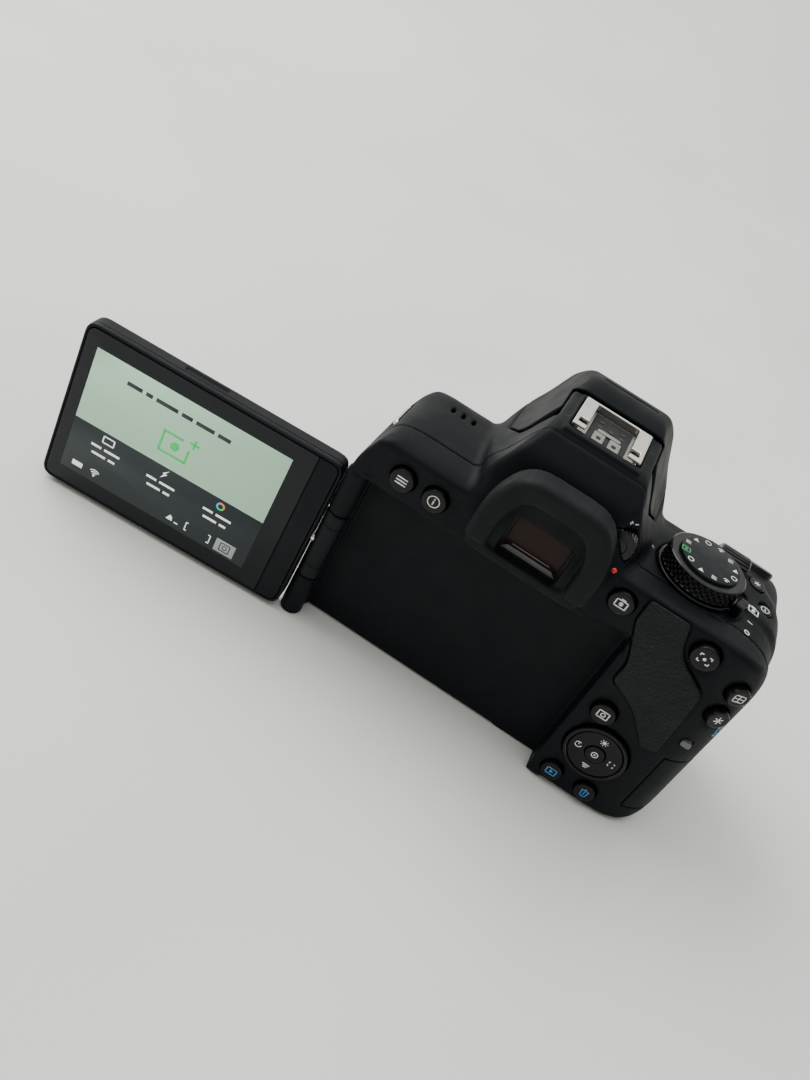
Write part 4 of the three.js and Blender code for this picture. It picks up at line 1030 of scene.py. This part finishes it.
def four_way_pad():
    place = basis((PAD["x"], REAR, PAD["z"]), (1, 0, 0), (0, 0, 1))

    def dots(angle, w, radius):
        return 0.16 * math.cos(72 * angle) if radius > PAD["ring"] - 0.5 and w > 0 else 0

    s = Sheet()
    outer, inner = PAD["ring"], PAD["keys"] + 0.3
    s.lathe([(inner, -2.4), (outer - 0.1, -2.4), (outer - 0.16, -0.2), (outer - 0.16, 0.7),
             (outer - 0.5, 1.08), (inner + 0.3, 1.1), (inner, 0.8)], 432, dots)
    s.make("dial_ring", place, M["dial"], "dial_ring", ["control_dial_ring"])
    s = Sheet()
    hole = PAD["centre"] + 0.3
    s.lathe([(hole, -4), (PAD["keys"], -4), (PAD["keys"], 0.45), (PAD["keys"] - 0.12, 0.7),
             (PAD["keys"] - 0.5, 0.8), (5.4, 0.62), (hole + 0.2, 0.72), (hole, 0.6)], 144)
    s.make("four_way_keys", place, M["button"], "four_way_pad", ["four_way_pad"])
    s = Sheet()
    cap(s, PAD["centre"], -4, 1.0, 0.1)
    s.make("set_cap", place, M["button"], "set_button", ["set_button"])

    s = Sheet()
    s.draw(MARKS["set"], 0.8, 0.93 + INK)
    s.make("set_mark", place, M["white"], "set_button", smooth=0)
    s = Sheet()
    s.draw(pad_strokes(), 0.5, 0.68 + INK)
    s.make("four_way_marks", place, M["white"], "four_way_pad", smooth=0)


def on_surface(x, y=None, z=None):
    """A frame that lies on the outer form: above (x, y), or behind (x, z)."""
    def reach(a, b):
        g = Grid((a, b, 55), (a, b, 105), 0.25) if z is None else Grid((a, -30, b), (a, 0, b), 0.25)
        g.x, other = g.x[2:3], (g.y[:, 2:3] if z is None else g.z[:, :, 2:3])
        if z is None:
            g.y = other
        else:
            g.z = other
        line = less(form(g), diopter_hollow(g), 0.8).ravel()
        inside = np.nonzero(line < 0)[0]
        i = inside[-1] if z is None else inside[0]
        j = i + 1 if z is None else i - 1
        ends = (g.z if z is None else g.y).ravel()
        return float(ends[i] + (ends[j] - ends[i]) * line[i] / (line[i] - line[j]))

    if z is None:
        here, right, ahead = reach(x, y), reach(x + 1, y), reach(x, y + 1)
        return basis((x, y, here), (1, 0, right - here), (0, 1, ahead - here))
    here, right, ahead = reach(x, z), reach(x + 1, z), reach(x, z + 1)
    return basis((x, here, z), (1, right - here, 0), (0, ahead - here, 1))


def body_marks():
    """Marks printed on the covers, each on the outer form."""
    behind = {
        "zoom_in_mark": ("lens", 71.2, 59.3, 0.05, "blue"),
        "zoom_out_mark": ("lens_over_grid", 71.2, 47.1, 0.05, "blue"),
        "movie_dot": ("dot", 20.2, 76.2, 0.02, "red"),
        "diopter_marks": ("plus_minus", 17.5, 88.4, 0.06, "white"),
    }
    for name, (icon, x, z, raised, colour) in behind.items():
        mark(name, MARKS[icon], on_surface(x, z=z), raised, colour, "camera_body")
    above = {
        "power_on_mark": ("on", 60.6, -2.9), "power_off_mark": ("off", 60.2, -8.4),
        "power_movie_mark": ("monitor", 60.7, 2.8), "sensor_plane_mark": ("sensor_plane", 33.2, 0),
        "dial_index": ("index", 27.2, 1.6),
    }
    for name, (icon, x, y) in above.items():
        mark(name, MARKS[icon], on_surface(x, y), 0.02, "white", "camera_body")


# ---------------------------------------------------------------- top controls


def mode_dial():
    place = Matrix.Translation((MODE["x"], MODE["y"], 0))
    teeth, low, high, radius = 36, MODE["low"], MODE["high"], MODE["radius"]

    def knurl(angle, w, r):
        if r < radius - 0.2 or not low + 0.3 < w < high - 0.3:
            return 0
        turn = teeth * angle / (2 * math.pi)
        a, b = ((turn + sign * w * 0.55) % 1 for sign in (-1, 1))
        return -0.55 * max(abs(2 * a - 1), abs(2 * b - 1)) ** 3

    levels = [(radius, low + 0.3 + (high - low - 0.6) * i / 14) for i in range(15)]
    s = Sheet()
    s.lathe([(0, 74), (3, 74), (3, 76.2), (8, 76.2), (8, low), (radius - 0.4, low), *levels,
             (radius - 0.4, high), (0, high)], teeth * 8, knurl)
    s.make("mode_drum", place, M["dial"], "mode_dial", ["mode_dial"], smooth=math.radians(24))
    s = Sheet()
    disc, top = MODE["disc"], MODE["top"]
    s.lathe([(0, high + 0.05), (disc, high + 0.05), (disc, top - 0.35), (disc - 0.12, top - 0.1),
             (disc - 0.4, top), (0, top)], 120)
    s.make("mode_plate", place, M["dial_top"], "mode_dial", ["mode_dial_plate"])

    white, green = mode_strokes(ring=7.9, count=12)
    mark("mode_marks", white, place, top, "white", "mode_dial")
    mark("mode_auto_mark", green, place, top, "green", "mode_dial")


def mode_strokes(ring, count):
    """The dial's icons: a green one for automatic, and four kinds of white ones by turns."""
    white, green = [], []
    for k in range(count):
        turn = 2 * math.pi * k / count + math.radians(195)
        u, v = ring * math.cos(turn), ring * math.sin(turn)
        if k == 0:
            corners = [(u + a, v + b) for a, b in ((-1.2, -1), (1.2, -1), (1.2, 1), (-1.2, 1))]
            green += [("bar", a, b, 0.32) for a, b in zip(corners, corners[1:] + corners[:1])]
            green.append(("disc", (u, v), 0.42))
        elif k % 4 == 1:
            white.append(("arc", (u, v), 0.85, 0.28))
        elif k % 4 == 2:
            white.append(("prism", [(u - 0.9, v - 0.7), (u + 0.9, v - 0.7), (u, v + 0.9)]))
        elif k % 4 == 3:
            white += [("bar", (u - 0.8, v + step), (u + 0.8, v + step), 0.26) for step in (-0.6, 0, 0.6)]
        else:
            white += [("disc", (u, v), 0.5), ("arc", (u, v), 0.95, 0.22, 20, 140)]
    return white, green


def power_lever():
    g = Grid((27, -14, 75), (58.5, 17, 80.5), 0.3)
    x, y = MODE["x"], MODE["y"]
    centre = np.hypot(g.x - x, g.y - y)
    ring = both(both(centre - LEVER["radius"], 9 - centre, 0.2), span(g.z, LEVER["low"], LEVER["high"]), 0.3)
    turn = math.radians(LEVER["turn"])
    along = (g.x - x) * math.cos(turn) + (g.y - y) * math.sin(turn)
    across = -(g.x - x) * math.sin(turn) + (g.y - y) * math.cos(turn)
    tip = both(both(span(along, LEVER["end"] - 2.8, LEVER["end"]), span(across, -2.6, 2.6), 0.6),
               span(g.z, LEVER["low"], LEVER["tip"]), 0.5)
    ribs = np.abs((across + 2.6) % 1.3 - 0.65) - 0.22
    tip = less(tip, both(ribs, LEVER["tip"] - 0.45 - g.z, 0.05), 0.15)
    field_piece("lever", either(ring, tip, 0.6), g, M["dial"], "power_lever", ["power_lever"])


def front_dial():
    place = basis((51.4, 21.5, 72.4), (0, 1, 0), (0, 0, 1))
    teeth = 34

    def ridges(angle, w, radius):
        return -0.45 * max(0, math.cos(teeth * angle)) ** 2 if radius > 6 and abs(w) < 4.6 else 0

    s = Sheet()
    s.lathe([(0, -5), (6.1, -5), (6.6, -4.6), (6.8, -4.2), (6.8, 4.2), (6.6, 4.6), (6.1, 5), (0, 5)],
            teeth * 8, ridges)
    s.make("front_wheel", place, M["dial"], "front_dial", ["front_dial"], smooth=math.radians(30))


def top_buttons():
    lean = math.radians(SHUTTER["lean"])
    place = basis(SHUTTER["place"], (1, 0, 0), (0, math.cos(lean), -math.sin(lean)))
    s = Sheet()
    cap(s, SHUTTER["radius"], -5, 2.2, 0.5, 96, 0.8)
    s.make("shutter_cap", place, M["button"], "shutter_button", ["shutter_button"])
    for name, (x, y, radius) in TOP_BUTTONS.items():
        top = SHOULDER - 0.2 - (x - 60) * 0.3
        place = Matrix.Translation((x, y, top))
        s = Sheet()
        cap(s, radius, -5, 0, 0.05, 64, 0.35)
        s.make(name + "_cap", place, M["button"], name, [name])
        icon = "star" if name == "iso_button" else "info"
        small = place @ Matrix.Scale(0.75, 4)
        mark(name + "_mark", MARKS[icon], small, -0.02, "white", name)


def accessory_shoe():
    g = Grid((-11, -6, 96.5), (11, 13.5, 100.5), 0.2)
    half, low, high = SHOE["half"], SHOE["seat"] + 0.3, SHOE["top"]
    body = box_field(g, (-half, half), (SHOE["rear"], SHOE["front"]), (low, high), 0.25)
    slot = both(span(g.x, -9.4, 9.4), span(g.z, SHOE["floor"], 99.2), 0.2)
    mouth = both(span(g.x, -6.6, 6.6), SHOE["floor"] - g.z, 0.1)
    notch = both(both(span(np.abs(g.x), 0, 9.4), span(g.y, -3.6, -0.6), 0.3), 98.6 - g.z, 0.1)
    for cutter in (np.maximum(slot, g.y - 11.6), np.maximum(mouth, g.y - 11.9), notch):
        body = less(body, cutter, 0.15)
    field_piece("shoe_rail", body, g, M["chrome"], "camera_body", ["shoe_rails"])
    floor = SHOE["floor"]
    s = Sheet()
    s.rounded(corner_path(round_rect((-8.9, 8.9), (-3.9, 11.4), 0.8)), floor + 0.02, floor + 0.35, 0.12)
    s.make("shoe_floor", Matrix(), M["hollow"], "camera_body", ["shoe_insert"])
    spring = Sheet()
    for side in (-1, 1):
        spring.rounded(corner_path(round_rect(sorted((side * 0.7, side * 4.2)), (-4.6, 0.8), 0.5)),
                       floor + 0.3, floor + 0.75, 0.15)
        spring.rounded(corner_path(round_rect(sorted((side * 5.9, side * 8.7)), (-4.4, 10.6), 0.5)),
                       floor + 0.36, floor + 0.6, 0.1)
    spring.rounded(corner_path(round_rect((-3.6, 3.6), (0.9, 2.6), 0.5)), floor + 0.3, floor + 0.9, 0.15)
    spring.make("shoe_spring", Matrix(), M["spring_metal"], "camera_body")
    contacts = Sheet()
    for x, y in ((0, 5.0), (-3.4, 7.6), (3.4, 7.6), (-3.4, 4.6), (3.4, 4.6)):
        contacts.disc((x, y), 0.8, floor + 0.3, floor + 0.5, 24)
    contacts.make("shoe_contacts", Matrix(), M["dark_metal"], "camera_body")
    dots = Sheet()
    for x in (-2.4, 2.4):
        path = corner_path(round_rect((x - 0.7, x + 0.7), (-3.4, -1.6), 0.5))
        dots.rounded(path, floor + 0.6, floor + 0.8, 0.05)
    dots.make("shoe_holes", Matrix(), M["hollow"], "camera_body")


def strap_lugs():
    for name, (place, lean) in LUGS.items():
        g = Grid((-1.2, -8, -4.5), (1.2, 8, 4), 0.18)
        loop = outline_field([(-7, -3), (7, -3), (6, 3.4, 2.2), (-6, 3.4, 2.2)], g.y, g.z)
        hole = outline_field([(-4.8, -1.2, 0.8), (4.8, -1.2, 0.8), (4.4, 1.6, 1), (-4.4, 1.6, 1)], g.y, g.z)
        body = both(less(loop, hole, 0.3), span(g.x, -0.8, 0.8), 0.35)
        turn = Matrix.Translation(place) @ Matrix.Rotation(math.radians(lean), 4, "Y")
        field_piece("strap_loop_" + name, body, g, M["chrome"], "camera_body", ["strap_lug_" + name],
                    turn=turn)


# ---------------------------------------------------------------- eyepiece


def eyepiece():
    place = basis((0, 0, 0), (1, 0, 0), (0, 0, 1))
    s = Sheet()
    s.rounded(corner_path(round_rect((-10.6, 10.6), (62.8, 77.6), 1.5)), 14, 20.0, 0.3)
    s.make("eyepiece_frame", place, M["hollow"], "camera_body", ["eyepiece_lens"])
    s = Sheet()
    s.rounded(corner_path(round_rect((-8.6, 8.4), (64.9, 76.2), 1.2)), 19.6, 20.25, 0.2)
    s.make("eyepiece_window", place, M["eyepiece"], "camera_body")
    # A flat pale trapezoid and a thin pale line over the bottom of the eyepiece window: painted light on the
    # lower wall of the viewfinder tunnel
    s = Sheet()
    s.prism([(-8.6, 64.2), (8.4, 64.2), (6.9, 65.7), (-7.1, 65.7)], 20.0, 20.45)
    s.bar((-6.2, 66.6), (5.6, 66.6), 0.25, 20.2, 20.3)
    s.make("eyepiece_sill_painted_light", place, M["sill_painted_light"], "camera_body")

    def ridges(angle, w, radius):
        return -0.3 * max(0, math.cos(30 * angle)) if radius > 4.9 else 0

    place = basis((16.8, 0, 81.5), (1, 0, 0), (0, 0, 1))
    s = Sheet()
    s.lathe([(0, 13), (5.2, 13), (5.2, 16.6), (4.8, 17), (3, 17), (2.8, 16.8), (0, 16.8)], 240, ridges)
    s.make("diopter_rim", place, M["dial"], "diopter", ["diopter_wheel"])


# ---------------------------------------------------------------- lens mount

MOUNT_SCREWS = {"angles": (35, 145, 215, 325), "reach": 29.8}


def lens_mount():
    z = LENS["z"]
    reach = MOUNT_SCREWS["reach"]
    g = Grid((-33, 41, z - 33), (33, 44.2, z + 33), 0.3)
    out = np.hypot(g.x, g.z - z)
    ring = both(both(out - LENS["ring"], LENS["throat"] - out, 0.3),
                span(g.y, LENS["flange"] - 2.6, LENS["flange"]), 0.35)
    angle = np.degrees(np.arctan2(g.z - z, g.x))
    for middle in (90, -30, 210):
        away = np.abs((angle - middle + 180) % 360 - 180) - 24
        lug = both(both(out - LENS["throat"] - 0.5, 25.2 - out, 0.2), away * 0.45, 0.3)
        ring = either(ring, both(lug, span(g.y, LENS["flange"] - 2.0, LENS["flange"] - 0.2), 0.3), 0.2)
    for bearing in MOUNT_SCREWS["angles"]:
        turn = math.radians(bearing)
        screw = np.hypot(g.x - reach * math.cos(turn), g.z - z - reach * math.sin(turn)) - 1.5
        ring = less(ring, np.maximum(screw, LENS["flange"] - 0.5 - g.y), 0.1)
    pin = rod_field(g.x, g.z, (LOCK_PIN[0], z), LOCK_PIN[1] + 0.3)
    field_piece("mount_ring", less(ring, pin, 0.15), g, M["chrome"], "camera_body", ["lens_mount_ring"])

    place = basis((0, 0, z), (0, 0, 1), (1, 0, 0))
    s = Sheet()
    for bearing in MOUNT_SCREWS["angles"]:
        turn = math.radians(90 - bearing)
        centre = (reach * math.cos(turn), reach * math.sin(turn))
        s.disc(centre, 1.35, LENS["flange"] - 0.6, LENS["flange"] - 0.15)
    s.make("mount_screws", place, M["dark_metal"], "camera_body")
    s = Sheet()
    s.disc((34.0, 0), 0.9, LENS["front"] - 0.3, LENS["front"] + 0.05)
    s.make("mount_index", place, M["red"], "camera_body")

    place = basis((LOCK_PIN[0], 0, z), (0, 0, 1), (1, 0, 0))
    s = Sheet()
    cap(s, LOCK_PIN[1], 37, LENS["flange"] + 0.7, 0, 40, 0.5)
    s.make("lock_pin", place, M["chrome"], "lens_lock", ["lens_lock_pin"])
    place = basis((RELEASE["x"], 0, RELEASE["z"]), (0, 0, 1), (1, 0, 0))
    s = Sheet()
    cap(s, RELEASE["radius"], 18, FRONT + 2.2, 0.3, 80, 0.8)
    s.make("release_cap", place, M["button"], "lens_release", ["lens_release_button"])

    s = Sheet()
    s.rounded(corner_path(round_rect((-9, 9), (15.6, 18.6), 0.8)), -40.8, -36.5, 0.2)
    place = basis((0, 0, 0), (1, 0, 0), (0, 0, 1))
    s.make("contact_bar", place, M["shell_smooth"], "camera_body", ["lens_contact_block"])
    s = Sheet()
    for k in range(8):
        s.disc((-7 + 2 * k, 17.1), 0.6, -41.1, -40.6, 16)
    s.make("contact_pins", place, M["gold"], "camera_body")


# ---------------------------------------------------------------- screen

SHAFT = {"radius": 1.6, "end": -13}
PIN = {"radius": 1.2, "length": 4}
GLASS_END = -11.8      # where the cover glass stops short of the hinge side


def screen_frames():
    swing = Matrix.Translation(HINGE) @ Matrix.Rotation(math.radians(SCREEN["open"]), 4, "Z")
    return swing, swing @ Matrix.Rotation(math.radians(SCREEN["tilt"]), 4, "X")


def hinge_block():
    swing, _ = screen_frames()
    low, high = SCREEN["low"] - HINGE[2], SCREEN["high"] - HINGE[2]
    g = Grid((-4, -4, low - 5), (4, 4, high + 5), 0.25)
    axis = np.hypot(g.x, g.y)
    block = both(axis - SCREEN["knuckle"], span(g.z, low, high), 0.5)
    pin = both(axis - PIN["radius"], span(g.z, low - PIN["length"], high + PIN["length"]), 0.3)
    bore = both(np.hypot(g.y, g.z) - SHAFT["radius"] - 0.3, span(g.x, -8, 1), 0.1)
    for z in (-8, 8):
        block = less(block, both(np.abs(g.z - z) - 0.15, 3.2 - axis, 0.05), 0.1)
    body = less(either(block, pin, 0.2), bore, 0.2)
    field_piece("hinge_barrel", body, g, M["screen_plastic"], "screen_arm", ["screen_hinge_block"],
                turn=swing)


def screen():
    _, tilted = screen_frames()
    end = -SCREEN["reach"] - SCREEN["length"]
    thick, tall = SCREEN["thick"] / 2, SCREEN["height"] / 2
    g = Grid((end, -thick, -tall), (-SCREEN["reach"], thick, tall), 0.33)
    outer = outline_field(round_rect((end, -SCREEN["reach"]), (-tall, tall), 4), g.x, g.z)
    body = both(outer, span(g.y, -thick, thick), 0.8)
    tray = round_rect((end + 1.0, -SCREEN["reach"] - 1.0), (-tall + 1.0, tall - 1.0), 3)
    tray = outline_field(tray, g.x, g.z)
    body = less(body, np.maximum(tray, g.y + thick - 1.3), 0.25)
    body = less(body, both(np.abs(outer + 0.1) - 0.3, np.abs(g.y + 1.6) - 0.16, 0.05), 0.1)
    body = less(body, both(np.hypot(g.y, g.z) - SHAFT["radius"] - 0.3, span(g.x, -14, 0), 0.1), 0.2)
    panel = outline_field(round_rect((end + 4, -10), (-tall + 4, tall - 4), 3), g.x, g.z)
    body = less(body, both(np.abs(panel) - 0.3, thick - 0.35 - g.y, 0.05), 0.1)
    grip = both(both(span(g.x, end + 30, end + 44), tall - 0.5 - g.z, 0.3), span(g.y, -0.6, 1.6), 0.3)
    body = less(body, grip, 0.2)
    field_piece("screen_shell", body, g, M["screen_plastic"], "screen", ["screen_case"], turn=tilted)

    place = tilted @ basis((0, 0, 0), (1, 0, 0), (0, 0, 1))
    edge = tall - 1.25
    s = Sheet()
    s.rounded(corner_path([(end + 1.25, -edge, 2.8), (GLASS_END, -edge, 0.2), (GLASS_END, edge, 0.2),
                           (end + 1.25, edge, 2.8)], 8), 2.4, 3.4, 0.15)
    s.make("cover_glass", place, M["screen_glass"], "screen", ["screen_bezel"])
    s = Sheet()
    far, near = GLASS_END + 0.25, -SCREEN["reach"] - 1.25
    s.rounded(corner_path([(far, -edge, 0.2), (near, -edge, 2.8), (near, edge, 2.8), (far, edge, 0.2)], 8),
              2.4, 3.4, 0.2)
    s.make("hinge_side_strip", place, M["screen_plastic"], "screen")
    display(place @ Matrix.Translation((end + SCREEN["length"] / 2 - SCREEN["offset"] - DISPLAY[0] / 2,
                                        DISPLAY[1] / 2, 0)))


def dashes(start, v, widths, line, gap):
    """Plain dashes that stand for a line of writing."""
    strokes = []
    for width in widths:
        strokes.append(("bar", (start, v), (start + width, v), line))
        start += width + gap
    return strokes


def setting_strokes():
    """Two lines of dashes under each of three icons, and a row of small icons at the foot."""
    strokes = []
    for middle in (12, 31, 50.5):
        for v, widths in ((-30.2, (3.4, 5.2)), (-32.8, (4.6, 2.2))):
            strokes += dashes(middle - sum(widths) / 2 - 0.5, v, widths, 0.75, 1)
    strokes += frame_bars(3.6, 2.2, 0.4, (12.1, -26.8))
    strokes.append(("prism", [(30.6, -26.6), (32.4, -25.0), (31.4, -26.6), (32.2, -26.6), (30.2, -28.6),
                              (31.0, -26.9)]))
    for u, a, b in ((43, 42.9, 43.7), (51.4, 50.6, 51.5)):
        strokes.append(("bar", (u, -38.2), (u, -41.0), 0.3))
        strokes += [("bar", (a, v), (b, v), 0.3) for v in (-38.2, -41.0)]
    strokes.append(("prism", [(36.4, -40.6), (38.6, -40.6), (38.3, -39.3), (37.5, -38.7)]))
    strokes.append(("bar", (39.3, -40.6), (40.6, -40.6), 0.4))
    strokes += [("arc", (11, -40.6), radius, 0.3, 45, 90, 8) for radius in (0.7, 1.4, 2.1)]
    strokes.append(("disc", (11, -40.6), 0.3))
    return strokes


AUTO_ICON = [
    ("bar", (26.6, -19.8), (35.4, -19.8), 0.8),
    ("bar", (26.6, -20.2), (26.6, -12.6), 0.8),
    ("bar", (35.4, -20.2), (35.4, -15.2), 0.8),
    ("bar", (26.2, -13.0), (32.8, -13.0), 0.8),
    ("disc", (31, -16.4), 1.5),
    ("bar", (36.4, -10.9), (36.4, -14.1), 0.75),
    ("bar", (34.8, -12.5), (38.0, -12.5), 0.75),
]
COLOUR_RING = {start: [("arc", (50.5, -26.8), 1.1, 0.6, start, 120, 10)] for start in (0, 120, 240)}
DISPLAY_MARKS = (
    ("title_marks", dashes(11.5, -5.4, (5.0, 2.2, 7.2, 3.6, 6.0, 4.2), 1.3, 1.2), "lit_ink"),
    ("auto_icon", AUTO_ICON, "lit_green"),
    ("setting_marks", setting_strokes(), "lit_white"),
    ("radio_pill", [("bar", (3.4, -39.6), (6.8, -39.6), 1.7)], "lit_white"),
    ("quick_box", [("bar", (53.4, -39.6), (60.0, -39.6), 4.6)], "lit_box"),
    ("colour_ring_a", COLOUR_RING[0], "lit_orange"),
    ("colour_ring_b", COLOUR_RING[120], "lit_blue"),
    ("colour_ring_c", COLOUR_RING[240], "lit_green"),
    ("quick_box_icon", frame_bars(3.2, 2.8, 0.35, (56.7, -39.6)) + [("arc", (56.7, -39.6), 0.7, 0.3)],
     "lit_ink"),
)


def display(place):
    """What the screen shows, in its own frame: u to the right and v upwards from its top left corner."""
    wide, tall, split, low = DISPLAY[0], DISPLAY[1], 24.3, 3.43
    s = Sheet()
    s.prism([(0, -split), (wide, -split), (wide, 0), (0, 0)], 2.6, low)
    s.make("display_upper", place, M["lit_pale"], "screen", ["screen_display"], smooth=0)
    s = Sheet()
    s.prism([(0, -tall), (wide, -tall), (wide, -split), (0, -split)], 2.6, low)
    s.make("display_lower", place, M["lit_grey"], "screen", smooth=0)
    for name, strokes, colour in DISPLAY_MARKS:
        lift = 0.03 if name == "quick_box_icon" else 0
        s = Sheet()
        s.draw(strokes, low - 0.02 + lift, low + 0.025 + lift)
        s.make(name, place, M[colour], "screen", smooth=0)

# ---------------------------------------------------------------- scene

VIEW = {"azimuth": 4.62, "elevation": 35.80, "roll": -30.3}
EYE = Vector((-12.54, -259.66, 221.25)) * MM
FOCAL = 34.83          # millimetres, on a frame 36 mm high


def make_camera():
    azimuth, elevation, roll = (math.radians(VIEW[key]) for key in ("azimuth", "elevation", "roll"))
    forward = Vector((-math.sin(azimuth) * math.cos(elevation), math.cos(azimuth) * math.cos(elevation),
                      -math.sin(elevation)))
    level = forward.cross(Vector((0, 0, 1))).normalized()
    right = level * math.cos(roll) - level.cross(forward) * math.sin(roll)
    data = bpy.data.cameras.new("view")
    data.lens = FOCAL
    data.sensor_width = 36
    data.clip_start = 0.01
    camera = bpy.data.objects.new("view", data)
    bpy.context.collection.objects.link(camera)
    axes = Matrix((right, right.cross(forward), -forward)).transposed()
    camera.matrix_world = Matrix.Translation(EYE) @ axes.to_4x4()
    bpy.context.scene.camera = camera


def area_light(name, place, target, size, power, colour=(1, 1, 1)):
    data = bpy.data.lights.new(name, "AREA")
    data.shape = "RECTANGLE"
    data.size, data.size_y = size
    data.energy = power
    data.color = colour
    light = bpy.data.objects.new(name, data)
    bpy.context.collection.objects.link(light)
    light.location = place
    light.rotation_euler = (Vector(target) - Vector(place)).to_track_quat("-Z", "Y").to_euler()


def make_light():
    world = bpy.data.worlds.new("studio")
    bpy.context.scene.world = world
    world.use_nodes = True
    background = world.node_tree.nodes["Background"]
    background.inputs["Color"].default_value = (0.96, 0.955, 0.90, 1)
    background.inputs["Strength"].default_value = 0.52
    area_light("window", (-1.00, 0.30, 1.00), (0, 0, 0.04), (1.2, 1.0), 20, (1.0, 0.99, 0.96))
    area_light("ceiling", (-0.10, 0.15, 1.50), (0, 0, 0), (2.2, 1.8), 18, (0.98, 0.99, 1.0))


def cloth_material():
    n = Nodes("cloth")
    n.link(n.mix(n.noise(260, 3), (0.79, 0.79, 0.755), (0.845, 0.845, 0.82)), "Base Color")
    n.set(Roughness=0.95, Specular_IOR_Level=0.1)
    n.link(n.bump(n.noise(180, 1), 14), "Normal")
    return n.material


def make_floor():
    """A pale cloth that runs up into a backdrop."""
    reach, bend, radius, rise, width, steps = 1.6, 0.75, 0.5, 1.4, 2.2, 24
    profile = [(-reach, 0.0)]
    for i in range(steps + 1):
        angle = i / steps * math.pi / 2
        profile.append((bend + radius * math.sin(angle), radius * (1 - math.cos(angle))))
    profile.append((bend + radius, rise))
    mesh = bpy.data.meshes.new("floor")
    points = [(x, y, z) for y, z in profile for x in (-width, width)]
    faces = [(2 * i, 2 * i + 1, 2 * i + 3, 2 * i + 2) for i in range(len(profile) - 1)]
    mesh.from_pydata(points, [], faces)
    mesh.shade_smooth()
    mesh.materials.append(cloth_material())
    floor = bpy.data.objects.new("floor", mesh)
    bpy.context.collection.objects.link(floor)


def paint_carried():
    for name, look in CARRIED.items():
        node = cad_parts[name]
        node.data.materials.clear()
        node.data.materials.append(M[look])


rear_cover()
top_cover()
flash_head()
front_cover()
side_doors()
base_cover()
eyecup()
buttons()
four_way_pad()
body_marks()
mode_dial()
power_lever()
front_dial()
top_buttons()
accessory_shoe()
strap_lugs()
eyepiece()
lens_mount()
hinge_block()
screen()
paint_carried()
make_camera()
make_light()
make_floor()
